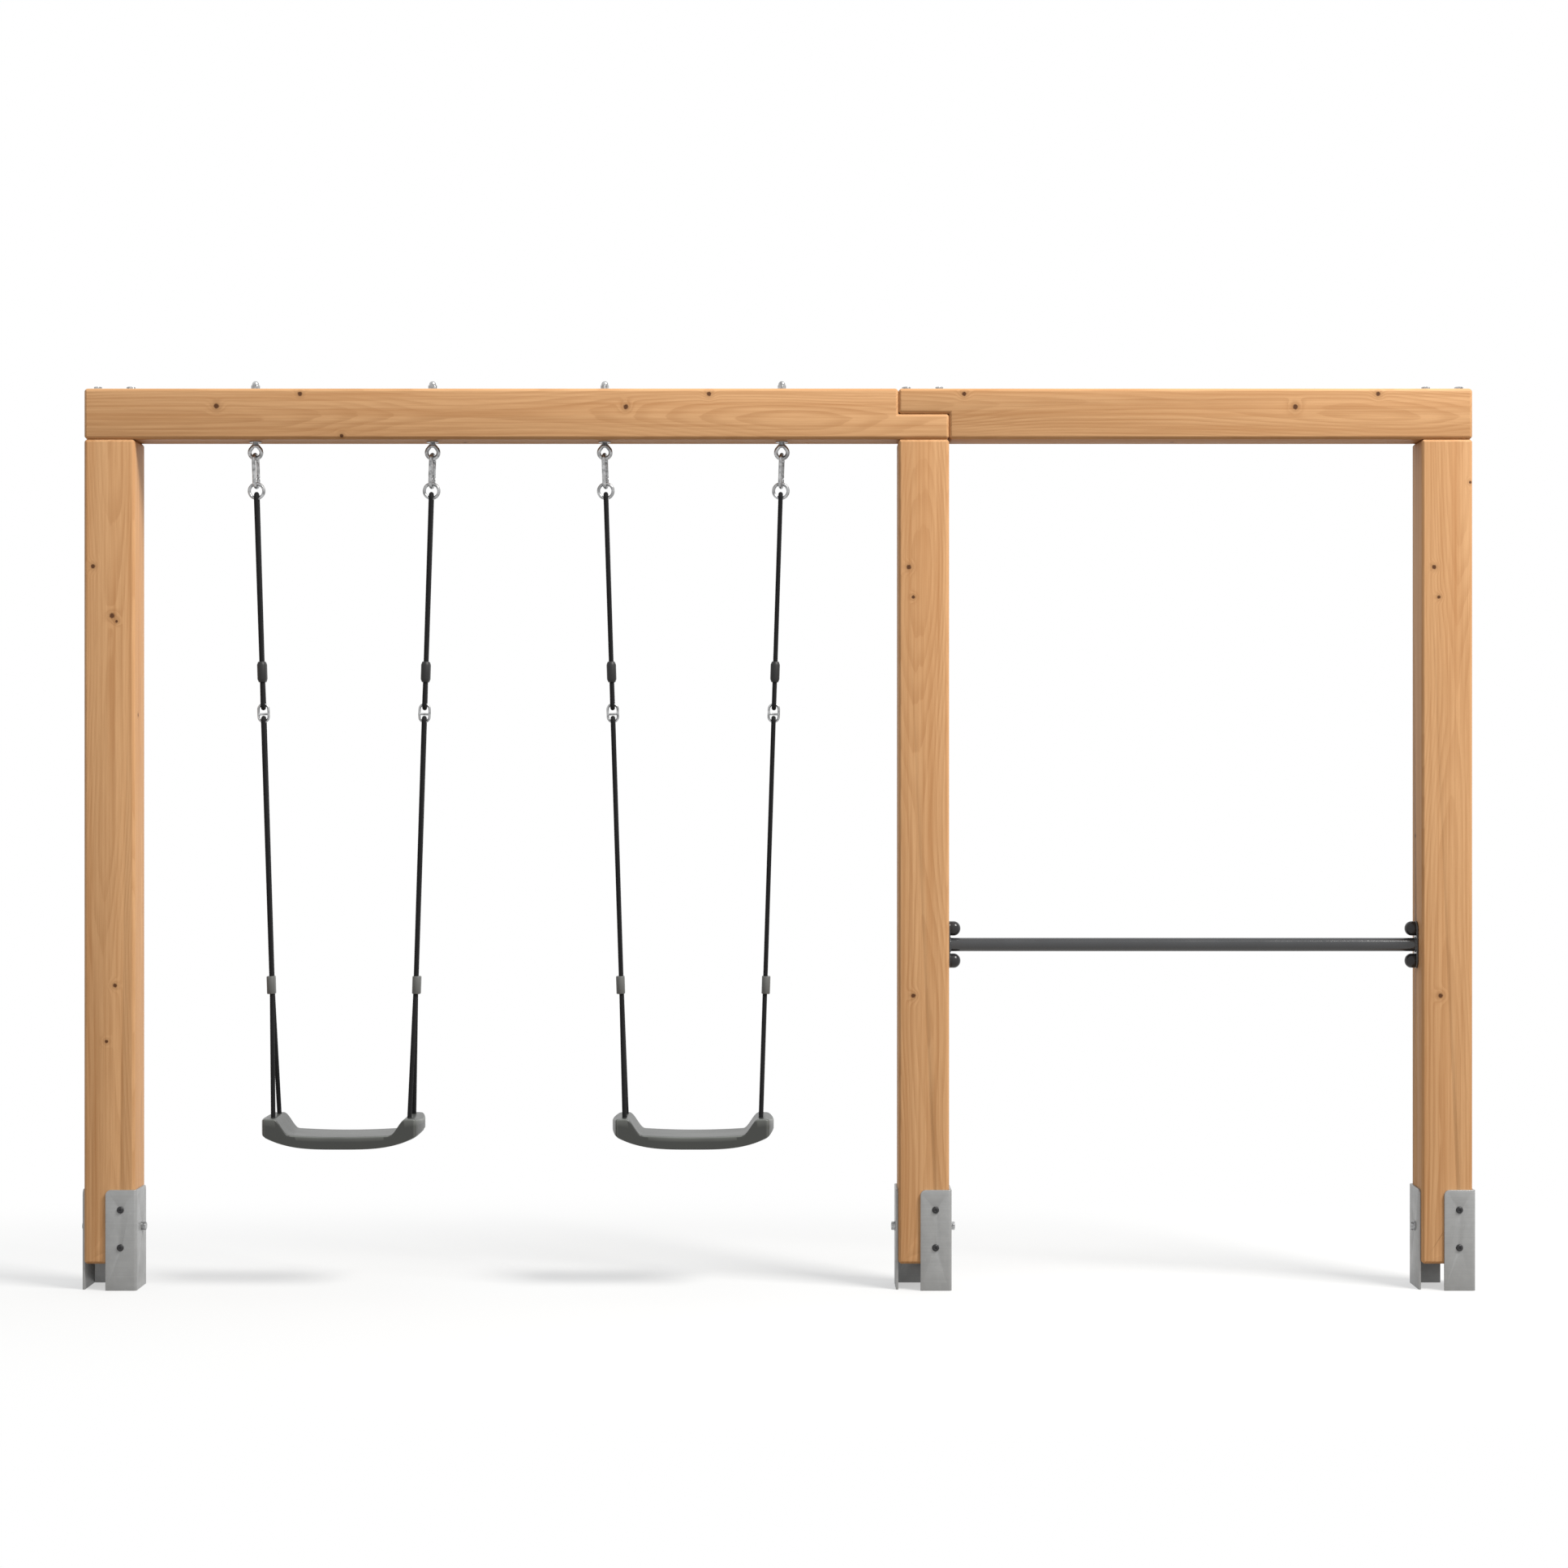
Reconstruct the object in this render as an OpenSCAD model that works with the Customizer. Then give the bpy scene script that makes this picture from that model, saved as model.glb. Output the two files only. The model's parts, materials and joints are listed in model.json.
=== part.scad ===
// Swing set: two rope swings and a tumbling bar under one timber beam, on steel ground anchors.
// Millimetres. X runs along the beam, the swings move along Y, and Z is up.
// The origin is on the ground under the middle of the frame.

/* [Timber frame] */
// Side of the square posts and beams
timber_w = 125; // [110:5:150]
// Length of each post
post_len = 2035; // [1700:5:2500]
// Clear width of the bay with the two swings
swing_bay = 1884; // [1560:2:2400]
// Clear width of the bay with the tumbling bar
bar_bay = 1166; // [900:2:1500]
// Bevel along every timber edge
arris = 6; // [2:0.5:8]

/* [Ground anchors] */
// Clear height between the ground and the end of each post
foot_gap = 65; // [40:5:90]
// Plate thickness of the angles
anchor_t = 6; // [4:0.5:8]
// Height of the angles
anchor_h = 248; // [210:2:320]
// Width of the flange on the front or back face of a post, over the bend
anchor_face_w = 77; // [60:1:90]
// Width of the flange on the side face of a post, over the bend
anchor_side_w = 118; // [95:1:120]
// Radius of the upper corners of the flanges
anchor_corner_r = 13; // [5:1:20]
// Outer radius of the bend
anchor_bend_r = 8; // [6:0.5:12]
// Height of the lower flange screws
flange_screw_z = 106; // [95:1:115]
// Distance from the lower to the upper flange screws
flange_screw_pitch = 93; // [80:1:95]
// Distance of the flange screws from the outer corner of the bend
flange_screw_inset = 40; // [34:1:44]
// Shank diameter of the flange screws
flange_screw_d = 8; // [6:0.5:10]
// Shank diameter of the bolt through each post
anchor_bolt_d = 12; // [8:1:12]
// Height of the bolt through each post
anchor_bolt_z = 151; // [145:1:158]

/* [Beam screws] */
// Shank diameter of the coach screws that hold the beam on the posts
coach_screw_d = 12; // [8:1:14]
// Length of the coach screws under the head
coach_screw_len = 200; // [170:5:260]
// Distance between the two coach screws over each post
coach_screw_pitch = 82; // [60:1:84]

/* [Swing hangers] */
// Distance between the middles of the two swings
swing_pitch = 868; // [740:2:900]
// Distance between the two eye bolts of one swing
hanger_pitch = 440; // [400:2:520]
// Shank diameter of the eye bolts
eye_shank_d = 12; // [10:1:14]
// Wire diameter of the eyes
eye_wire_d = 10; // [8:0.5:12]
// Outer width of the eyes
eye_w = 39; // [36:1:50]
// Distance from the beam down to the middle of the wire at the bottom of the eye
eye_drop = 42; // [38:1:55]
// Rod diameter of the spring hooks
hook_rod_d = 9; // [7.5:0.5:11]
// Outer length of the spring hooks
hook_len = 90.6; // [80:0.2:110]
// Outer width of the spring hooks
hook_w = 37; // [35:1:44]
// Angle by which the spring hooks are turned from the plane of the swing's movement
hook_turn = -12; // [-20:1:20]
// Wire diameter of the rings
ring_wire_d = 8; // [6:0.5:9]
// Outer diameter of the rings
ring_d = 44; // [43:1:60]
// Wire diameter of the double links between the ropes
link_wire_d = 6; // [5:0.5:8]

/* [Ropes] */
// Rope diameter
rope_d = 12; // [10:0.5:14.5]
// Length of the upper rope, from the ring's wire to the double link's wire
upper_rope_len = 512.3; // [300:0.1:700]
// Length of the sleeve on the upper rope
sleeve_len = 51; // [40:1:70]
// Distance from the sleeve's lower end to the double link's wire
sleeve_rise = 55; // [50:1:90]
// Length of the clip on the lower rope
clip_len = 44; // [30:1:60]
// Distance from the clip's lower end down to the top of the seat
clip_rise = 300; // [200:5:400]

/* [Seats] */
// Height of the lowest point of the seats above the ground
seat_z = 350; // [300:5:500]
// Length of the seats at mid-depth
seat_len = 400; // [380:2:460]
// Front-to-back depth of the seats
seat_depth = 176; // [150:2:230]
// Thickness of the seats at their middle
seat_middle_t = 31; // [24:1:40]
// Rise of the underside from the middle to the ends
seat_end_rise = 34; // [20:1:36]
// Height of the end lugs over the lowest point
lug_h = 75; // [68:1:90]
// Wall thickness of the hollow moulding
seat_wall = 6; // [4:0.5:7]
// Distance between the rope holes along the seat
rope_hole_pitch_x = 337; // [300:1:340]
// Distance between the rope holes across the seat
rope_hole_pitch_y = 96; // [70:2:100]

/* [Tumbling bar] */
// Outer diameter of the bar
bar_d = 33.7; // [26.9:0.1:42.4]
// Wall thickness of the bar
bar_wall = 2.6; // [2:0.1:4]
// Height of the bar's axis above the ground
bar_z = 850; // [500:10:1600]
// Thickness of the end flanges
flange_t = 5; // [4:0.5:8]
// Height of the end flanges
flange_h = 117; // [112:1:140]
// Width of the end flanges
flange_w = 40; // [38:1:60]
// Distance between the two screws of a flange
flange_bolt_pitch = 80; // [78:1:84]
// Diameter of the caps over the screw heads
cap_d = 36; // [30:1:37]
// Height of the caps
cap_h = 26; // [22:1:30]

/* [Hidden] */
$fn = 64;

// Clearances and small sizes
cut = 1;             // how far a cutting shape runs past the face that it cuts
hole_play = 0.3;     // radial clearance of shanks in timber and plate
touch_play = 0.3;    // gap between wires that hang in each other
rope_play = 0.4;     // gap between a rope and the wire it goes round
slot_play = 0.3;     // gap on each side of the hook's hinge tongue
pin_play = 0.05;     // radial running clearance of the gate pin

// Frame
frame_len = 3 * timber_w + swing_bay + bar_bay;
left_post_x = -frame_len / 2 + timber_w / 2;
middle_post_x = left_post_x + timber_w + swing_bay;
right_post_x = frame_len / 2 - timber_w / 2;
post_xs = [left_post_x, middle_post_x, right_post_x];
beam_z = foot_gap + post_len;
beam_top_z = beam_z + timber_w;
lap_z = beam_z + timber_w / 2;
tongue_root = 2 * arris + 2;   // how far a lap tongue starts inside its beam

// Beam screws
coach_head_h = 8;
coach_head_across = 19;
coach_washer_d = 30;
coach_washer_t = 2.5;

// Anchors
anchor_bolt_head_d = 21;
anchor_bolt_head_h = 8.5;
anchor_nut_across = 18;
anchor_nut_h = 8;
anchor_washer_d = 24;
anchor_washer_t = 2.5;
flange_screw_head_d = 17;
flange_screw_head_h = 4;
flange_screw_len = 50;
socket_across = 5;
socket_depth = 2.5;

// Eye bolts
swing_mid_x = left_post_x + (timber_w + swing_bay) / 2;
swing_xs = [swing_mid_x - swing_pitch / 2, swing_mid_x + swing_pitch / 2];
eye_z = beam_z - eye_drop;
eye_r = (eye_w - eye_wire_d) / 2;
eye_apex_share = 1.54;   // height of the eye's peak over its middle, in radii
eye_washer_d = 30;
eye_washer_t = 3;
eye_thread_out = 16;     // how far the shank stands above the upper washer
cap_nut_across = 19;
cap_nut_hex_h = 12;
cap_nut_h = 22;
cap_nut_dome_d = 17;

// One hanger, measured down from the wire at the bottom of the eye
hook_rod_r = hook_rod_d / 2;
hook_r = (hook_w - hook_rod_d) / 2;
hook_top = eye_wire_d / 2 + touch_play + hook_rod_r;
hook_bow_top = hook_r - hook_top;
hook_bottom = hook_len - hook_rod_d - hook_top;
hook_bow_bottom = hook_bottom - hook_r;
ring_wire_r = ring_wire_d / 2;
ring_r = (ring_d - ring_wire_d) / 2;
ring_top = hook_bottom - hook_rod_r - touch_play - ring_wire_r;
ring_bottom = ring_top + 2 * ring_r;

// Gate of the spring hook
gate_pin_d = 3;
gate_pivot = hook_bow_bottom - 13;
gate_below_pivot = 3.2;
gate_gap = 2.8;          // between the gate's end and the stub that carries it
stub_top = gate_pivot + gate_below_pivot + gate_gap;
gate_top = gate_pivot - 34;
gate_end_play = 0.6;
gate_r = hook_rod_r - 0.1;
tongue_t = hook_rod_d * 0.4;
tongue_r = 3.8;
latch_t = 3;
latch_w = 7;
latch_h = 4.2;
latch_play = 0.4;

// Double link and rope loops
rope_r = rope_d / 2;
link_wire_r = link_wire_d / 2;
link_bar_r = link_wire_r * 0.9;
link_side_play = 3.5;
link_r = rope_r + link_wire_r + link_side_play;
link_top = ring_bottom + upper_rope_len;
link_bar = link_top + link_wire_r + rope_play + rope_d + 6.5 + link_bar_r;
link_bottom = link_bar + link_bar_r + rope_d + link_wire_r + rope_play + 0.7;
ring_loop_r = ring_wire_r + rope_r + rope_play;
link_loop_r = link_wire_r + rope_r + rope_play;
strand_y = rope_r + 0.2; // half the distance between the two strands in sleeve and clip

// Sleeve and clip
fitting_play = 0.3;
sleeve_wall = 5.2;
sleeve_shoulder = 7;
sleeve_bottom = link_top - sleeve_rise;
sleeve_top = sleeve_bottom - sleeve_len;
clip_wall = 4.2;
clip_offset = 2;         // how far the clip's back stands towards the seat's middle

// Seat
seat_half = seat_len / 2;
lug_top_z = seat_z + lug_h;
lug_top_in = rope_hole_pitch_x / 2 - 11.5;
lug_top_out = seat_half - 8;
ramp_foot = lug_top_in - 25;
seat_sag = 5.5;
seat_top_z = seat_z + seat_middle_t;
seat_end_chamfer = 8;
seat_bulge = 12;         // how much the ends stand out at mid-depth
seat_corner = 10;
boss_h = 12;             // how far the bosses round the rope holes reach below the lug's wall
boss_wall = 5;
foot_rise = 3;           // height of a rope leg's reference point above the lug
rib_t = 4;
rib_recess = 4;
rib_ys = [-seat_depth / 7, seat_depth / 7];
rib_xs = [-0.3 * seat_len, -0.15 * seat_len, 0, 0.15 * seat_len, 0.3 * seat_len];

// Line of a hanger: it leans inwards from the eye to the seat's rope holes
hole_half_x = rope_hole_pitch_x / 2;
hole_half_y = rope_hole_pitch_y / 2;
hanger_drop = eye_z - lug_top_z - foot_rise;
hanger_lean = atan((hanger_pitch - rope_hole_pitch_x) / 2 / hanger_drop);
hanger_len = hanger_drop / cos(hanger_lean);
clip_bottom = hanger_len - clip_rise;
clip_top = clip_bottom - clip_len;
leg_start = clip_bottom + 3;
leg_angle = atan((hole_half_y - strand_y) / (hanger_len - leg_start));
rope_hole_r = rope_r + 0.6;
knot_r = rope_r * 2.1;
knot_len = rope_d * 1.5;
boss_bottom = foot_rise + seat_wall + boss_h;
knot_start = boss_bottom + 0.5;

// ---- helpers ----

function unit(v) = v / norm(v);

// Points of an arc in a plane
function arc(r, from, to, steps) =
    [for (i = [0:steps]) let (a = from + (to - from) * i / steps) [r * cos(a), r * sin(a)]];

function shifted(points, by) = [for (p = points) p + by];

// A flat outline's points placed in the plane of the swing's movement, across X
function in_yz(points) = [for (p = points) [0, p[0], p[1]]];

// A flat outline's points placed in the plane along the beam, across Y
function in_xz(points) = [for (p = points) [p[0], 0, p[1]]];

// Outline with two half-round ends, along the second axis of the plane
function oblong(r, half) =
    concat(shifted(arc(r, 0, 180, 16), [0, half]), shifted(arc(r, 180, 360, 16), [0, -half]));

// Round bar along a flat path whose plane has this normal, with a radius for each point
module swept(path, radii, normal, sides = 12, closed = false) {
    last = len(path) - 1;
    dirs = [for (i = [0:last]) let (
        before = i > 0 ? path[i - 1] : closed ? path[last] : path[0],
        after = i < last ? path[i + 1] : closed ? path[0] : path[last])
        unit(after - before)];
    points = [for (i = [0:last]) for (j = [0:sides - 1]) let (a = 360 * j / sides)
        path[i] + radii[i] * (cos(a) * normal + sin(a) * cross(dirs[i], normal))];
    spans = closed ? last : last - 1;
    walls = [for (i = [0:spans]) for (j = [0:sides - 1]) let (
        k = (i + 1) % (last + 1), m = (j + 1) % sides)
        [i * sides + j, k * sides + j, k * sides + m, i * sides + m]];
    ends = closed ? [] : [
        [for (j = [0:sides - 1]) j],
        [for (j = [sides - 1:-1:0]) last * sides + j]];
    polyhedron(points = points, faces = concat(walls, ends), convexity = 6);
}

// Box with all its edges bevelled, from its lowest corner
module bevelled_box(size, bevel) {
    intersection() {
        linear_extrude(size[2]) bevelled_rect(size[0], size[1], bevel);
        translate([0, size[1], 0]) rotate([90, 0, 0])
            linear_extrude(size[1]) bevelled_rect(size[0], size[2], bevel);
        rotate([90, 0, 90]) linear_extrude(size[0]) bevelled_rect(size[1], size[2], bevel);
    }
}

module bevelled_rect(w, h, c) {
    polygon([[c, 0], [w - c, 0], [w, c], [w, h - c], [w - c, h], [c, h], [0, h - c], [0, c]]);
}

module along_x(x) translate([x, 0, 0]) rotate([0, 90, 0]) children();

// Hexagonal prism with this distance across its flats
module hex(across, h) cylinder(d = across / cos(30), h = h, $fn = 6);

module washer(d, hole_d, t) difference() {
    cylinder(d = d, h = t);
    translate([0, 0, -cut]) cylinder(d = hole_d, h = t + 2 * cut);
}

// ---- fastener positions ----

module each_coach_screw() for (x = post_xs) for (s = [-1, 1])
    translate([x + s * coach_screw_pitch / 2, 0, beam_top_z]) children();

module each_eye_bolt() for (x = swing_xs) for (s = [-1, 1])
    translate([x + s * hanger_pitch / 2, 0, 0]) children();

// Flange screws of one post: their axes point out of the front and of the back face
module each_flange_screw(x) for (turn = [0, 180]) for (k = [0, 1])
    translate([x, 0, flange_screw_z + k * flange_screw_pitch]) rotate([0, 0, turn])
        translate([timber_w / 2 + anchor_t - flange_screw_inset, -timber_w / 2 - anchor_t, 0])
            rotate([90, 0, 0]) children();

module each_anchor_bolt() for (x = post_xs) translate([x, 0, anchor_bolt_z]) children();

// Screws of the bar's flanges: their axes point from the timber into the bar's bay
module each_bar_screw() {
    for (s = [-1, 1]) {
        translate([middle_post_x + timber_w / 2 + flange_t, 0, bar_z + s * flange_bolt_pitch / 2])
            rotate([0, 90, 0]) children();
        translate([right_post_x - timber_w / 2 - flange_t, 0, bar_z + s * flange_bolt_pitch / 2])
            rotate([0, -90, 0]) children();
    }
}

// ---- timber ----

module post(x) color("burlywood") difference() {
    translate([x - timber_w / 2, -timber_w / 2, foot_gap])
        bevelled_box([timber_w, timber_w, post_len], arris);
    timber_holes();
}

module timber_holes() {
    each_coach_screw() translate([0, 0, -coach_screw_len - cut])
        cylinder(d = coach_screw_d + 2 * hole_play, h = coach_screw_len + 2 * cut);
    each_eye_bolt() translate([0, 0, beam_z - cut])
        cylinder(d = eye_shank_d + 2 * hole_play, h = timber_w + 2 * cut);
    each_anchor_bolt() along_x(-timber_w / 2 - cut)
        cylinder(d = anchor_bolt_d + 2 * hole_play, h = timber_w + 2 * cut);
    for (x = post_xs) each_flange_screw(x) translate([0, 0, -flange_screw_len - cut])
        cylinder(d = flange_screw_d + 2 * hole_play, h = flange_screw_len + cut);
    each_bar_screw() translate([0, 0, -bar_screw_len - cut])
        cylinder(d = bar_screw_d + 2 * hole_play, h = bar_screw_len + cut);
}

module swing_beam() color("burlywood") difference() {
    union() {
        translate([-frame_len / 2, -timber_w / 2, beam_z])
            bevelled_box([middle_post_x - timber_w / 2 + frame_len / 2, timber_w, timber_w], arris);
        translate([middle_post_x - timber_w / 2 - tongue_root, -timber_w / 2, beam_z])
            bevelled_box([timber_w + tongue_root, timber_w, timber_w / 2], arris);
    }
    timber_holes();
}

module bar_beam() color("burlywood") difference() {
    union() {
        translate([middle_post_x + timber_w / 2, -timber_w / 2, beam_z])
            bevelled_box([frame_len / 2 - middle_post_x - timber_w / 2, timber_w, timber_w], arris);
        translate([middle_post_x - timber_w / 2, -timber_w / 2, lap_z])
            bevelled_box([timber_w + tongue_root, timber_w, timber_w / 2], arris);
    }
    timber_holes();
}

// ---- ground anchors ----

// Angle on the front and right faces of a post, or turned half round for the back and left
module anchor(x, turn) color("silver") translate([x, 0, 0]) rotate([0, 0, turn]) difference() {
    translate([timber_w / 2 + anchor_t, -timber_w / 2 - anchor_t, 0]) intersection() {
        linear_extrude(anchor_h) anchor_section();
        anchor_flange_outlines();
    }
    for (k = [0, 1]) translate([
        timber_w / 2 + anchor_t - flange_screw_inset,
        -timber_w / 2 + cut,
        flange_screw_z + k * flange_screw_pitch])
        rotate([90, 0, 0]) cylinder(d = flange_screw_d + 2 * hole_play, h = anchor_t + 2 * cut);
    translate([0, 0, anchor_bolt_z]) along_x(timber_w / 2 - cut)
        cylinder(d = anchor_bolt_d + 2 * hole_play, h = anchor_t + 2 * cut);
}

// Section of the angle, with its outer corner at the origin
module anchor_section() polygon(concat(
    [[-anchor_face_w, 0]],
    shifted(arc(anchor_bend_r, -90, 0, 6), [-anchor_bend_r, anchor_bend_r]),
    [[0, anchor_side_w], [-anchor_t, anchor_side_w], [-anchor_t, anchor_t],
     [-anchor_face_w, anchor_t]]));

// Both flanges seen face on, with their free upper corners rounded
module anchor_flange_outlines() {
    translate([0, anchor_t, 0]) rotate([90, 0, 0])
        linear_extrude(anchor_t + cut) mirror([1, 0, 0]) flange_outline(anchor_face_w);
    translate([-anchor_t, 0, 0]) rotate([90, 0, 90])
        linear_extrude(anchor_t + cut) flange_outline(anchor_side_w);
}

module flange_outline(w) polygon(concat(
    [[-cut, 0], [w, 0]],
    shifted(arc(anchor_corner_r, 0, 90, 8), [w - anchor_corner_r, anchor_h - anchor_corner_r]),
    [[-cut, anchor_h]]));

// Distance from a post's middle to the outer face of its side flanges
side_face = timber_w / 2 + anchor_t;

module anchor_through_bolts() color("lightgray") each_anchor_bolt() {
    along_x(-side_face - anchor_washer_t) translate([0, 0, -anchor_nut_h])
        cylinder(d = anchor_bolt_d, h = 2 * side_face + anchor_washer_t + anchor_nut_h + 1);
    along_x(side_face) round_head(anchor_bolt_head_d, anchor_bolt_head_h + anchor_washer_t);
}

// Low domed head standing on the plane z = 0
module round_head(d, h) rotate_extrude() polygon(concat(
    [[0, 0], [d / 2, 0], [d / 2, h * 0.25]],
    [for (a = [15:15:75]) [d / 2 * cos(a), h * 0.25 + h * 0.75 * sin(a)]],
    [[0, h]]));

module anchor_bolt_nuts() color("lightgray") each_anchor_bolt() {
    translate([-side_face, 0, 0]) rotate([0, -90, 0]) difference() {
        union() {
            cylinder(d = anchor_washer_d, h = anchor_washer_t);
            hex(anchor_nut_across, anchor_washer_t + anchor_nut_h);
        }
        translate([0, 0, -cut]) cylinder(
            d = anchor_bolt_d + 2 * hole_play, h = anchor_washer_t + anchor_nut_h + 2 * cut);
    }
}

module anchor_flange_screws() color("dimgray") for (x = post_xs) each_flange_screw(x) {
    difference() {
        union() {
            translate([0, 0, -flange_screw_len]) cylinder(d = flange_screw_d, h = flange_screw_len);
            round_head(flange_screw_head_d, flange_screw_head_h);
        }
        translate([0, 0, flange_screw_head_h - socket_depth]) hex(socket_across, socket_depth + cut);
    }
}

// ---- beam screws ----

module beam_coach_screws() color("silver") each_coach_screw() {
    translate([0, 0, coach_washer_t]) hex(coach_head_across, coach_head_h);
    translate([0, 0, -coach_screw_len])
        cylinder(d = coach_screw_d, h = coach_screw_len + coach_washer_t + cut);
}

module beam_screw_washers() color("silver") each_coach_screw()
    washer(coach_washer_d, coach_screw_d + 2 * hole_play, coach_washer_t);

// ---- eye bolts ----

module swing_eye_bolts() color("silver") each_eye_bolt() {
    translate([0, 0, eye_z + eye_r]) eye();
    translate([0, 0, eye_shank_z])
        cylinder(d = eye_shank_d, h = beam_top_z + eye_washer_t + eye_thread_out - eye_shank_z);
}

// Drop-shaped wire eye about its middle: a round bottom and two straight sides into a neck
eye_open = acos(1 / eye_apex_share);
eye_peak = eye_r * eye_apex_share;
eye_neck_r = eye_wire_d * 1.05;
eye_neck_h = eye_wire_d * 0.9;
eye_shank_z = eye_z + eye_r + eye_peak - eye_neck_h * 0.8;

module eye() {
    side_end = [eye_wire_d * 0.52, eye_peak - eye_wire_d * 0.52 * tan(eye_open)];
    path = concat(
        [side_end],
        arc(eye_r, 90 - eye_open, -270 + eye_open, 18),
        [[-side_end[0], side_end[1]]]);
    swept(in_xz(path), [for (p = path) eye_wire_d / 2], [0, 1, 0]);
    translate([0, 0, eye_peak - eye_neck_h * 0.8])
        cylinder(r1 = eye_neck_r, r2 = eye_shank_d * 0.52, h = eye_neck_h);
}

module eye_bolt_washers() color("silver") each_eye_bolt() {
    translate([0, 0, beam_z - eye_washer_t])
        washer(eye_washer_d, eye_shank_d + 2 * hole_play, eye_washer_t);
    translate([0, 0, beam_top_z]) washer(eye_washer_d, eye_shank_d + 2 * hole_play, eye_washer_t);
}

module eye_bolt_cap_nuts() color("silver") each_eye_bolt()
    translate([0, 0, beam_top_z + eye_washer_t]) difference() {
        union() {
            hex(cap_nut_across, cap_nut_hex_h);
            cylinder(d = cap_nut_dome_d, h = cap_nut_h - cap_nut_dome_d / 2);
            translate([0, 0, cap_nut_h - cap_nut_dome_d / 2]) sphere(d = cap_nut_dome_d);
        }
        translate([0, 0, -cut])
            cylinder(d = eye_shank_d + 2 * touch_play, h = eye_thread_out + cut + touch_play);
    }

// ---- tumbling bar ----

bar_x0 = middle_post_x + timber_w / 2;
bar_x1 = right_post_x - timber_w / 2;
bar_screw_d = 10;
bar_screw_len = 75;
bar_screw_across = 17;
bar_screw_head_h = 7;
cap_wall = 2.5;

module tumbling_bar() color("dimgray") translate([0, 0, bar_z]) along_x(bar_x0 + flange_t)
    difference() {
        cylinder(d = bar_d, h = bar_x1 - bar_x0 - 2 * flange_t);
        translate([0, 0, -cut])
            cylinder(d = bar_d - 2 * bar_wall, h = bar_x1 - bar_x0 - 2 * flange_t + 2 * cut);
    }

module bar_flange(x) color("dimgray") difference() {
    translate([x, 0, bar_z]) rotate([90, 0, 90])
        linear_extrude(flange_t) polygon(oblong(flange_w / 2, (flange_h - flange_w) / 2));
    each_bar_screw() translate([0, 0, -flange_t - cut])
        cylinder(d = bar_screw_d + 2 * hole_play, h = flange_t + 2 * cut);
}

module bar_flange_screws() color("silver") each_bar_screw() {
    hex(bar_screw_across, bar_screw_head_h);
    translate([0, 0, -bar_screw_len]) cylinder(d = bar_screw_d, h = bar_screw_len + cut);
}

module bar_screw_caps() color("dimgray") each_bar_screw() difference() {
    cap_form(cap_d / 2, cap_h);
    translate([0, 0, -cut]) cap_form(cap_d / 2 - cap_wall, cap_h - cap_wall + cut);
}

// Round cap with a straight rim and a domed top
module cap_form(r, h) rotate_extrude() polygon(concat(
    [[0, 0], [r, 0]],
    [for (a = [0:10:80]) [r * cos(a), h * 0.4 + h * 0.6 * sin(a)]],
    [[0, h]]));

// ---- hangers ----

// Places a hanger's pieces: the eye's wire is at the origin and the rope runs down
module hanger(swing, side) translate([swing_xs[swing] + side * hanger_pitch / 2, 0, eye_z])
    rotate([0, side * hanger_lean, 0]) children();

// Half of a torus in the plane of the swing's movement, open downwards
module bow(r, wire_r) rotate([0, 90, 0]) rotate([0, 0, 90])
    rotate_extrude(angle = 180) translate([r, 0]) circle(r = wire_r);

module hook(swing, side) color("silver") hanger(swing, side) rotate([0, 0, hook_turn]) {
    difference() {
        union() {
            translate([0, 0, -hook_bow_top]) bow(hook_r, hook_rod_r);
            translate([0, 0, -hook_bow_bottom]) rotate([180, 0, 0]) bow(hook_r, hook_rod_r);
            translate([0, -hook_r, -hook_bow_bottom])
                cylinder(r = hook_rod_r, h = hook_bow_bottom - hook_bow_top);
            translate([0, hook_r, -gate_top])
                cylinder(r = hook_rod_r, h = gate_top - hook_bow_top);
            translate([0, hook_r, -hook_bow_bottom])
                cylinder(r = hook_rod_r, h = hook_bow_bottom - stub_top);
        }
        translate([-latch_t / 2 - latch_play, hook_r - hook_rod_d, -gate_top - cut])
            cube([latch_t + 2 * latch_play, 2 * hook_rod_d, latch_h + cut + latch_play]);
    }
    hinge_tongue();
}

// Flat tongue that carries the gate, with its riveted pin
module hinge_tongue() {
    translate([-tongue_t / 2, hook_r, -gate_pivot]) rotate([0, 90, 0])
        cylinder(r = tongue_r, h = tongue_t);
    translate([-tongue_t / 2, hook_r - tongue_r, -stub_top - cut])
        cube([tongue_t, 2 * tongue_r, stub_top + cut - gate_pivot]);
    translate([-hook_rod_r, hook_r, -gate_pivot]) rotate([0, 90, 0])
        cylinder(d = gate_pin_d, h = hook_rod_d);
}

module gate(swing, side) color("silver") hanger(swing, side) rotate([0, 0, hook_turn])
    difference() {
        union() {
            translate([0, hook_r, -gate_pivot - gate_below_pivot])
                cylinder(r = gate_r, h = gate_pivot + gate_below_pivot - gate_top - gate_end_play);
            translate([-latch_t / 2, hook_r - latch_w / 2, -gate_top - 2])
                cube([latch_t, latch_w, latch_h + 1]);
        }
        translate([-tongue_t / 2 - slot_play, 0, -gate_pivot - gate_below_pivot - cut])
            cube([tongue_t + 2 * slot_play, 2 * hook_r, gate_below_pivot + cut + tongue_r + slot_play]);
        translate([-hook_rod_d, hook_r, -gate_pivot]) rotate([0, 90, 0])
            cylinder(d = gate_pin_d + 2 * pin_play, h = 2 * hook_rod_d);
    }

module ring(swing, side) color("silver") hanger(swing, side)
    translate([0, 0, -ring_top - ring_r]) rotate([90, 0, 0])
        rotate_extrude() translate([ring_r, 0]) circle(r = ring_wire_r);

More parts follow.
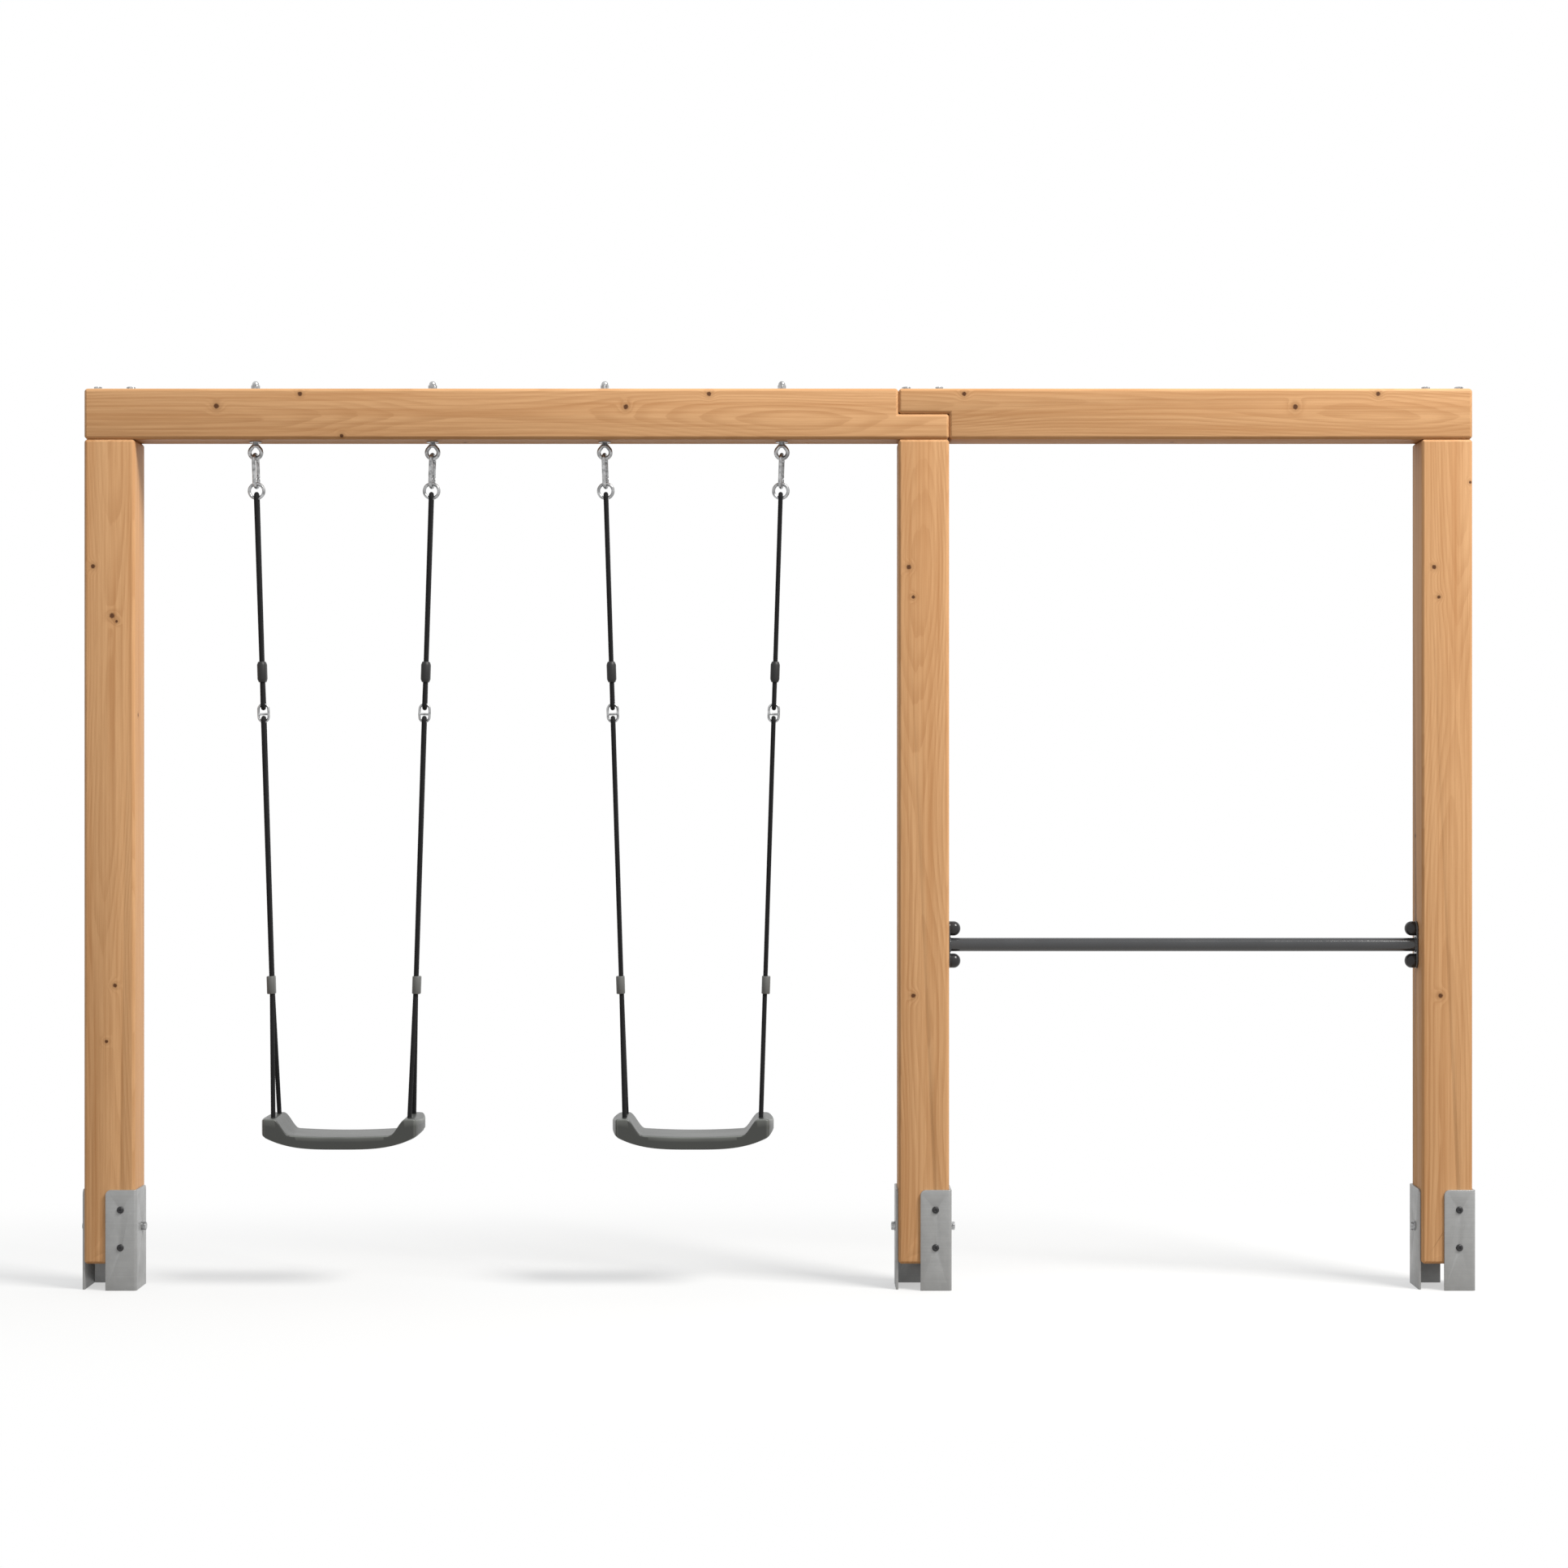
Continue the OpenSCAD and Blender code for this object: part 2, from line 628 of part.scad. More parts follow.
// Endless rope through the ring above and the double link below
module upper_rope(swing, side) color("black") hanger(swing, side) {
    path = concat(
        shifted(arc(ring_loop_r, 0, 180, 10), [0, -ring_bottom]),
        [[-strand_y, -sleeve_top], [-strand_y, -sleeve_bottom]],
        shifted(arc(link_loop_r, 180, 360, 10), [0, -link_top]),
        [[strand_y, -sleeve_bottom], [strand_y, -sleeve_top]]);
    swept(in_yz(path), [for (p = path) rope_r], [1, 0, 0], closed = true);
}

module sleeve(swing, side) color("dimgray") hanger(swing, side)
    translate([0, 0, -sleeve_bottom]) difference() {
        union() {
            linear_extrude(sleeve_len) polygon(sleeve_outline(0.55 * sleeve_wall));
            translate([0, 0, sleeve_shoulder]) linear_extrude(sleeve_len - 2 * sleeve_shoulder)
                polygon(sleeve_outline(sleeve_wall));
        }
        strand_holes(sleeve_len);
    }

function sleeve_outline(wall) = oblong(rope_r + fitting_play + wall, strand_y);

module strand_holes(h) for (s = [-1, 1]) translate([0, s * strand_y, -cut])
    cylinder(r = rope_r + fitting_play, h = h + 2 * cut);

// Wire link with a cross bar: the upper rope holds its top and the lower rope its bottom
module link(swing, side) color("silver") hanger(swing, side) {
    translate([0, 0, -link_top - link_r]) rotate([0, 0, 90]) bow(link_r, link_wire_r);
    translate([0, 0, -link_bottom + link_r]) rotate([180, 0, 90]) bow(link_r, link_wire_r);
    for (s = [-1, 1]) translate([s * link_r, 0, -link_bottom + link_r])
        cylinder(r = link_wire_r, h = link_bottom - link_top - 2 * link_r);
    translate([0, 0, -link_bar]) along_x(-link_r) cylinder(r = link_bar_r, h = 2 * link_r);
}

// Rope through the double link, with one leg to the front and one to the rear hole of the seat
module lower_rope(swing, side) color("black") hanger(swing, side) {
    leg = [sin(leg_angle), -cos(leg_angle)];
    foot = [hole_half_y, -hanger_len];
    right_leg = [
        foot + knot_start * leg, foot + (knot_start + 0.2 * knot_len) * leg,
        foot + (knot_start + 0.8 * knot_len) * leg, foot + (knot_start + knot_len) * leg];
    left_leg = [for (i = [3:-1:0]) [-right_leg[i][0], right_leg[i][1]]];
    path = concat(
        left_leg,
        [[-strand_y, -leg_start], [-strand_y, -clip_top]],
        shifted(arc(link_loop_r, 180, 0, 10), [0, -link_bottom]),
        [[strand_y, -clip_top], [strand_y, -leg_start]],
        right_leg);
    last = len(path) - 1;
    knot = [0.75 * knot_r, knot_r, knot_r, rope_r];
    radii = [for (i = [0:last]) i < 4 ? knot[i] : i > last - 4 ? knot[last - i] : rope_r];
    swept(in_yz(path), radii, [1, 0, 0]);
}

module clip(swing, side) color("gray") hanger(swing, side)
    translate([0, 0, -clip_bottom]) difference() {
        translate([-side * clip_offset, 0, 0]) linear_extrude(clip_len)
            polygon(oblong(rope_r + fitting_play + clip_wall, strand_y));
        strand_holes(clip_len);
    }

// ---- seats ----

// Half of the seat's front outline, from the lug's foot up and along the top to the middle
function seat_upper(inset) = [
    [seat_half - inset, seat_z + seat_end_rise + seat_end_chamfer],
    [seat_half - inset, lug_top_z - seat_end_chamfer - inset / 2],
    [lug_top_out - inset, lug_top_z - inset],
    [lug_top_in + inset, lug_top_z - inset],
    [ramp_foot + inset, seat_top_z + seat_sag + 2 - inset]];

// The shallow hollow of the sitting surface, from right to left
function seat_dip(inset) = [for (i = [10:-1:-10]) let (t = i / 11)
    [t * ramp_foot, seat_top_z + seat_sag * t * t - inset]];

// The underside, from left to right
function seat_under(inset) = [for (i = [-12:12]) let (t = i / 12)
    [t * (seat_half - seat_end_chamfer), seat_z + seat_end_rise * pow(abs(t), 3.4) + inset]];

function mirrored(points) = [for (i = [len(points) - 1:-1:0]) [-points[i][0], points[i][1]]];

// Front outline of the whole seat, and of its hollow, which is open below
module seat_front_outline() polygon(concat(
    seat_upper(0), seat_dip(0), mirrored(seat_upper(0)), seat_under(0)));

module seat_hollow_outline() polygon(concat(
    [[seat_half - seat_wall, seat_z - cut]], seat_upper(seat_wall), seat_dip(seat_wall),
    mirrored(seat_upper(seat_wall)), [[-seat_half + seat_wall, seat_z - cut]]));

// Outline from above, with ends that stand out at mid-depth, drawn in by a wall
module seat_plan(inset) {
    y = seat_depth / 2 - inset;
    c = seat_corner - inset / 2;
    end = [for (i = [-6:6]) let (t = i / 6)
        [seat_half - inset - seat_bulge * t * t, t * (y - c)]];
    polygon(concat(
        end, [[seat_half - inset - seat_bulge - c, y]],
        [[-(seat_half - inset - seat_bulge - c), y]],
        [for (i = [12:-1:0]) [-end[i][0], end[i][1]]],
        [[-(seat_half - inset - seat_bulge - c), -y]],
        [[seat_half - inset - seat_bulge - c, -y]]));
}

module seat_form(inset) intersection() {
    translate([0, seat_depth / 2, 0]) rotate([90, 0, 0]) linear_extrude(seat_depth) {
        if (inset == 0) seat_front_outline();
        else seat_hollow_outline();
    }
    translate([0, 0, seat_z - 2 * cut]) linear_extrude(lug_h + 4 * cut) seat_plan(inset);
}

module seat_ribs() intersection() {
    union() {
        for (x = rib_xs) translate([x - rib_t / 2, -seat_depth / 2, seat_z])
            cube([rib_t, seat_depth, lug_h]);
        for (y = rib_ys) translate([-seat_half, y - rib_t / 2, seat_z])
            cube([seat_len, rib_t, lug_h]);
    }
    translate([0, 0, rib_recess]) seat_form(0);
    seat_form(0);
}

// Puts children at the feet of a swing's rope legs, with their Z up along the leg
module each_rope_foot(swing) for (side = [-1, 1]) hanger(swing, side) for (s = [-1, 1])
    translate([0, s * hole_half_y, -hanger_len]) rotate([s * leg_angle, 0, 0]) children();

module seat(swing) color("dimgray") difference() {
    union() {
        translate([swing_xs[swing], 0, 0]) {
            difference() {
                seat_form(0);
                seat_form(seat_wall);
            }
            seat_ribs();
        }
        each_rope_foot(swing) translate([0, 0, -boss_bottom])
            cylinder(r = rope_hole_r + boss_wall, h = boss_h + seat_wall / 2);
    }
    each_rope_foot(swing) translate([0, 0, -lug_h]) cylinder(r = rope_hole_r, h = 2 * lug_h);
}

// ---- what is drawn ----

post(left_post_x);  // left_post
post(middle_post_x);  // middle_post
post(right_post_x);  // right_post
swing_beam();
bar_beam();
anchor(left_post_x, 0);  // left_front_anchor
anchor(left_post_x, 180);  // left_rear_anchor
anchor(middle_post_x, 0);  // middle_front_anchor
anchor(middle_post_x, 180);  // middle_rear_anchor
anchor(right_post_x, 0);  // right_front_anchor
anchor(right_post_x, 180);  // right_rear_anchor
anchor_through_bolts();
anchor_bolt_nuts();
anchor_flange_screws();
beam_coach_screws();
beam_screw_washers();
swing_eye_bolts();
eye_bolt_washers();
eye_bolt_cap_nuts();
tumbling_bar();
bar_flange(bar_x0);  // bar_left_flange
bar_flange(bar_x1 - flange_t);  // bar_right_flange
bar_flange_screws();
bar_screw_caps();
hook(0, -1);  // left_swing_left_hook
gate(0, -1);  // left_swing_left_gate
ring(0, -1);  // left_swing_left_ring
upper_rope(0, -1);  // left_swing_left_upper_rope
sleeve(0, -1);  // left_swing_left_sleeve
link(0, -1);  // left_swing_left_link
lower_rope(0, -1);  // left_swing_left_lower_rope
clip(0, -1);  // left_swing_left_clip
hook(0, 1);  // left_swing_right_hook
gate(0, 1);  // left_swing_right_gate
ring(0, 1);  // left_swing_right_ring
upper_rope(0, 1);  // left_swing_right_upper_rope
sleeve(0, 1);  // left_swing_right_sleeve
link(0, 1);  // left_swing_right_link
lower_rope(0, 1);  // left_swing_right_lower_rope
clip(0, 1);  // left_swing_right_clip
seat(0);  // left_seat
hook(1, -1);  // right_swing_left_hook
gate(1, -1);  // right_swing_left_gate
ring(1, -1);  // right_swing_left_ring
upper_rope(1, -1);  // right_swing_left_upper_rope
sleeve(1, -1);  // right_swing_left_sleeve
link(1, -1);  // right_swing_left_link
lower_rope(1, -1);  // right_swing_left_lower_rope
clip(1, -1);  // right_swing_left_clip
hook(1, 1);  // right_swing_right_hook
gate(1, 1);  // right_swing_right_gate
ring(1, 1);  // right_swing_right_ring
upper_rope(1, 1);  // right_swing_right_upper_rope
sleeve(1, 1);  // right_swing_right_sleeve
link(1, 1);  // right_swing_right_link
lower_rope(1, 1);  // right_swing_right_lower_rope
clip(1, 1);  // right_swing_right_clip
seat(1);  // right_seat
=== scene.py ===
"""Looks of the swing set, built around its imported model.

Every piece has its own operator. Run as a script it makes them all and sets the stage.
Lengths are in metres, in the model's own frame: X along the beam, Y to the back, Z up.
"""

import json
import math

import bmesh
import bpy
import numpy as np
from mathutils import Matrix, Vector


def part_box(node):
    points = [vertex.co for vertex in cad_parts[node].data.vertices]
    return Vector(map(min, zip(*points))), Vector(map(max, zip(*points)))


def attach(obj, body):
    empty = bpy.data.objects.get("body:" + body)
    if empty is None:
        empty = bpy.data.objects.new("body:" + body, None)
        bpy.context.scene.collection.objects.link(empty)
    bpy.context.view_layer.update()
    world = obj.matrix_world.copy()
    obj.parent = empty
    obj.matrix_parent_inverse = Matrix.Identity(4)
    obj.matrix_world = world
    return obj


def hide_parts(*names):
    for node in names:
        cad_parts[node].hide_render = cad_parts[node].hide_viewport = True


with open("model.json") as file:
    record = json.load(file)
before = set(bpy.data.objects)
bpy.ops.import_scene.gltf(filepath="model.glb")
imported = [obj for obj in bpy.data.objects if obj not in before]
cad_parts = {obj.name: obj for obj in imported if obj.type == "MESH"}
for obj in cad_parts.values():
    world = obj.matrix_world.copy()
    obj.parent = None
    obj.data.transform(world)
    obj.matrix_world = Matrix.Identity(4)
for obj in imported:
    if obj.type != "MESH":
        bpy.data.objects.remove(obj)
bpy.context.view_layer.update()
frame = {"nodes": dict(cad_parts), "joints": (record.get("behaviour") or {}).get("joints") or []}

bl_info = {
    "name": "Swing Set",
    "version": (1, 0, 0),
    "blender": (4, 5, 0),
    "location": "View3D > Sidebar > Swing Set",
    "description": "Dresses a timber swing set with wood, steel, rope and moulded plastic",
    "category": "Object",
}

MM = 0.001
HOLE_R = 6.3 * MM             # hole in the washers of 12 mm bolts and screws
FLANGE_SCREW_Z = (106 * MM, 199 * MM)
FLANGE_SCREW_INSET = 40 * MM  # from an angle's bend
COACH_SCREW_X = 41 * MM       # from a post's middle
BAR_SCREW_Z = 40 * MM         # from the bar's axis
WASHER_T = 2.5 * MM
EYE_WASHER_T = 3 * MM
JOINTS = {joint["name"]: joint for joint in frame["joints"]}
SWINGS = ("left", "right")
HANGERS = [f"{swing}_swing_{side}" for swing in SWINGS for side in ("left", "right")]
POSTS = ("left_post", "middle_post", "right_post")
BEAMS = ("swing_beam", "bar_beam")
ANCHORS = [f"{post}_{side}_anchor" for post in ("left", "middle", "right")
           for side in ("front", "rear")]


def middle(node):
    """Middle of a node's box."""
    low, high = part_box(node)
    return (low + high) / 2


def swing_of(hanger):
    """The body that a hanger's lower parts belong to, such as left_swing."""
    return hanger.rsplit("_", 1)[0]


# ---- sizes and colours that a user would change ----

def length(name, text, default):
    return bpy.props.FloatProperty(
        name=name, description=text, default=default, min=0.0, unit="LENGTH", precision=4)


def colour(name, text, default):
    return bpy.props.FloatVectorProperty(
        name=name, description=text, default=default, size=3, min=0.0, max=1.0,
        subtype="COLOR")


class TimberProps(bpy.types.PropertyGroup):
    pale: colour("Pale wood", "Colour of the wood between the dark rings", (0.690, 0.400, 0.196))
    dark: colour("Dark rings", "Colour of the dark rings", (0.410, 0.190, 0.070))
    knot: colour("Knots", "Colour of the knots", (0.105, 0.042, 0.016))
    ring_width: length("Ring width", "Distance between two growth rings", 0.0048)
    edge: length("Edge softness", "Rounding of the sawn edges", 0.0016)


class SteelProps(bpy.types.PropertyGroup):
    galvanised: colour("Galvanised", "Colour of the ground anchors", (0.33, 0.335, 0.335))
    zinc: colour("Zinc", "Colour of the hooks, rings, links and bolts", (0.52, 0.525, 0.53))
    paint: colour("Bar paint", "Colour of the tumbling bar", (0.034, 0.036, 0.039))
    dark_screw: colour("Dark screws", "Colour of the anchors' screws", (0.030, 0.030, 0.032))
    spangle: length("Spangle", "Size of the zinc crystals on the anchors", 0.012)


class RopeProps(bpy.types.PropertyGroup):
    diameter: length("Diameter", "Rope diameter", 0.0116)
    relief: length("Relief", "Height of the braid's strands", 0.0005)
    pick: length("Pick", "Length of one diamond of the braid", 0.0050)
    strands: bpy.props.IntProperty(
        name="Strands", description="Strands in each direction", default=8, min=3)
    step: length("Step", "Distance between the rope mesh's rings", 0.0014)
    tint: colour("Rope", "Colour of the yarn", (0.0085, 0.0085, 0.0092))


class PlasticProps(bpy.types.PropertyGroup):
    seat: colour("Seat", "Colour of the seats", (0.050, 0.053, 0.050))
    sleeve: colour("Sleeve", "Colour of the sleeves on the upper ropes", (0.020, 0.020, 0.021))
    clip: colour("Clip", "Colour of the clips on the lower ropes", (0.120, 0.122, 0.118))
    cap: colour("Caps", "Colour of the caps on the bar's screws", (0.022, 0.022, 0.024))
    seat_edge: length("Seat edge", "Rounding of the seats' upper edges", 0.0042)
    seat_wall: length("Seat wall", "Wall thickness of the seats", 0.0060)


class StageProps(bpy.types.PropertyGroup):
    distance: length("Camera distance", "From the middle of the set to the camera", 7.8925)
    height: length("Camera height", "Above the ground", 1.249)
    offset: length("Camera offset", "Along the beam from the middle", 0.014)
    lens: bpy.props.FloatProperty(
        name="Lens", description="Focal length on a 36 mm wide sensor", default=72.9,
        unit="CAMERA")
    floor: colour("Floor", "Colour of the floor", (0.70, 0.70, 0.695))
    bounce: colour("Bounce", "Colour that the floor throws back up", (0.24, 0.20, 0.16))


GROUPS = (TimberProps, SteelProps, RopeProps, PlasticProps, StageProps)
GROUP_NAMES = ("timber", "steel", "rope", "plastic", "stage")


class SwingSetProps(bpy.types.PropertyGroup):
    timber: bpy.props.PointerProperty(
        type=TimberProps, name="Timber", description="Posts and beams")
    steel: bpy.props.PointerProperty(type=SteelProps, name="Steel", description="Metal parts")
    rope: bpy.props.PointerProperty(type=RopeProps, name="Rope", description="Braided ropes")
    plastic: bpy.props.PointerProperty(
        type=PlasticProps, name="Plastic", description="Moulded parts")
    stage: bpy.props.PointerProperty(type=StageProps, name="Stage", description="Floor and camera")


# ---- node helpers ----

class Tree:
    """Builds a node tree: add() makes a node, and a socket given as an input is linked."""

    def __init__(self, tree):
        self.tree = tree

    def add(self, kind, settings=None, **inputs):
        node = self.tree.nodes.new(kind)
        for name, value in (settings or {}).items():
            setattr(node, name, value)
        self.set(node, **inputs)
        return node

    def set(self, node, **inputs):
        for name, value in inputs.items():
            self.put(node.inputs[self.index(node, name)], value)

    def index(self, node, name):
        if name.startswith("in") and name[2:].isdigit():
            return int(name[2:])
        wanted = name.replace("_", " ").lower()
        for i, socket in enumerate(node.inputs):
            if socket.name.lower() == wanted and socket.enabled:
                return i
        raise KeyError(f"{node.bl_idname} has no input {name}")

    def put(self, socket, value):
        if isinstance(value, bpy.types.NodeSocket):
            self.tree.links.new(value, socket)
        elif isinstance(value, bpy.types.Node):
            self.tree.links.new(value.outputs[0], socket)
        else:
            socket.default_value = value

    def math(self, operation, a, b=0.0):
        return self.add("ShaderNodeMath", {"operation": operation}, in0=a, in1=b).outputs[0]

    def times(self, a, b):
        return self.math("MULTIPLY", a, b)

    def plus(self, a, b):
        return self.math("ADD", a, b)

    def vector(self, operation, a, b=(0.0, 0.0, 0.0)):
        node = self.add("ShaderNodeVectorMath", {"operation": operation}, in0=a, in1=b)
        return node.outputs["Value"] if operation in ("LENGTH", "DOT_PRODUCT") else node.outputs[0]

    def scaled(self, vector, by):
        settings = {"operation": "SCALE"}
        return self.add("ShaderNodeVectorMath", settings, in0=vector, in3=by).outputs[0]

    def noise(self, vector, scale, detail=2.0, roughness=0.5):
        return self.add("ShaderNodeTexNoise", None, vector=vector, scale=scale, detail=detail,
                        roughness=roughness).outputs[0]

    def drawn_noise(self, vector, factors, detail=2.0, roughness=0.5):
        """Noise drawn out along the axes that have small factors."""
        return self.noise(self.vector("MULTIPLY", vector, factors), 1.0, detail, roughness)

    def remap(self, value, low, high, to_low=0.0, to_high=1.0, smooth=False):
        settings = {"interpolation_type": "SMOOTHSTEP" if smooth else "LINEAR"}
        node = self.add("ShaderNodeMapRange", settings, value=value, from_min=low,
                        from_max=high, to_min=to_low, to_max=to_high)
        return node.outputs[0]

    def mix(self, share, a, b):
        node = self.add("ShaderNodeMix", {"data_type": "RGBA"}, in0=share, in6=a, in7=b)
        return node.outputs[2]

    def named(self, name):
        """A float attribute of the mesh, in geometry nodes."""
        settings = {"data_type": "FLOAT"}
        return self.add("GeometryNodeInputNamedAttribute", settings, name=name).outputs[0]

    def stored(self, geometry, name, value):
        """The geometry with a float attribute stored on it."""
        return self.add("GeometryNodeStoreNamedAttribute", {"data_type": "FLOAT"},
                        geometry=geometry, name=name, value=value)


def rgba(tint, gain=1.0):
    return (tint[0] * gain, tint[1] * gain, tint[2] * gain, 1.0)


def material(name):
    """A new material: its tree, its surface shader and its object coordinates."""
    made = bpy.data.materials.new(name)
    made.use_nodes = True
    tree = Tree(made.node_tree)
    shader = made.node_tree.nodes["Principled BSDF"]
    where = tree.add("ShaderNodeTexCoord").outputs["Object"]
    return made, tree, shader, where


def bump(tree, shader, height, strength, distance):
    node = tree.add("ShaderNodeBump", None, strength=strength, distance=distance, height=height)
    tree.put(shader.inputs["Normal"], node.outputs[0])


# ---- materials ----

KNOT_SIZE = 0.85  # share of a knot's listed radius that its dark heart is built with

# Knots of each timber: a point on one of its faces, and the radius there
KNOTS = {
    "left_post": (
        (-1.690, -0.0625, 1.786, 0.0070), (-1.643, -0.0625, 1.664, 0.0080),
        (-1.632, -0.0625, 1.650, 0.0045), (-1.636, -0.0625, 0.752, 0.0065),
        (-1.657, -0.0625, 0.614, 0.0055), (-1.7125, 0.012, 1.180, 0.0075),
        (-1.5875, -0.020, 1.420, 0.0060), (-1.668, 0.0625, 1.050, 0.0080)),
    "middle_post": (
        (0.322, -0.0625, 1.784, 0.0075), (0.333, -0.0625, 1.710, 0.0055),
        (0.333, -0.0625, 0.727, 0.0070), (0.2965, 0.018, 1.310, 0.0070),
        (0.4215, -0.012, 0.560, 0.0075), (0.372, 0.0625, 1.530, 0.0070)),
    "right_post": (
        (1.617, -0.0625, 1.784, 0.0070), (1.629, -0.0625, 1.710, 0.0055),
        (1.633, -0.0625, 0.727, 0.0075), (1.707, -0.0625, 1.993, 0.0050),
        (1.7125, 0.015, 1.360, 0.0080), (1.5875, 0.020, 1.120, 0.0060),
        (1.664, 0.0625, 0.880, 0.0075)),
    "swing_beam": (
        (-1.180, -0.0625, 2.211, 0.0070), (-1.386, -0.0625, 2.181, 0.0085),
        (-0.171, -0.0625, 2.211, 0.0070), (-0.376, -0.0625, 2.179, 0.0080),
        (-1.077, -0.0625, 2.108, 0.0060), (-0.920, 0.0625, 2.150, 0.0085),
        (0.110, 0.0625, 2.172, 0.0070), (-0.640, 0.014, 2.225, 0.0080),
        (-0.780, 0.020, 2.100, 0.0070)),
    "bar_beam": (
        (0.458, -0.0625, 2.211, 0.0070), (1.275, -0.0625, 2.179, 0.0085),
        (1.479, -0.0625, 2.211, 0.0070), (0.860, 0.0625, 2.146, 0.0085),
        (1.020, -0.010, 2.225, 0.0075), (0.980, 0.016, 2.100, 0.0070)),
}


def knot_group():
    """Node group: one knot, as the branch that runs from the heart of a timber to a face.

    Swell is how much the knot lifts the growth rings round it, and Core is its dark heart.
    """
    if "Knot" in bpy.data.node_groups:
        return bpy.data.node_groups["Knot"]
    group = bpy.data.node_groups.new("Knot", "ShaderNodeTree")
    for label, kind in (("Vector", "Vector"), ("Centre", "Vector"), ("Outward", "Vector"),
                        ("Radius", "Float")):
        group.interface.new_socket(name=label, in_out="INPUT", socket_type=f"NodeSocket{kind}")
    for label in ("Swell", "Core"):
        group.interface.new_socket(name=label, in_out="OUTPUT", socket_type="NodeSocketFloat")
    tree = Tree(group)
    given = tree.add("NodeGroupInput").outputs
    inward = tree.vector("SUBTRACT", given["Centre"], given["Vector"])
    depth = tree.vector("DOT_PRODUCT", inward, given["Outward"])
    along = tree.scaled(given["Outward"], depth)
    beside = tree.vector("LENGTH", tree.vector("SUBTRACT", inward, along))
    taper = tree.remap(depth, 0.060, 0.0, 0.15, 1.0)
    far = tree.math("DIVIDE", beside, tree.times(given["Radius"], taper))
    ragged = tree.noise(given["Vector"], 260.0, 2.0)
    far = tree.plus(far, tree.times(ragged, 0.5))
    here = tree.remap(depth, 0.075, 0.055)
    swell = tree.math("EXPONENT", tree.times(tree.times(far, far), -0.16))
    out = tree.add("NodeGroupOutput")
    tree.put(out.inputs["Swell"], tree.times(swell, here))
    core = tree.remap(far, 1.4, 0.85, smooth=True)
    tree.put(out.inputs["Core"], tree.times(core, here))
    return group


def facing(point, centre, lying):
    """The outward direction of the timber's face that a point lies on."""
    away = point - centre
    away[0 if lying else 2] = 0.0
    side = max(range(3), key=lambda i: abs(away[i]))
    return Vector([math.copysign(1.0, away[i]) if i == side else 0.0 for i in range(3)])


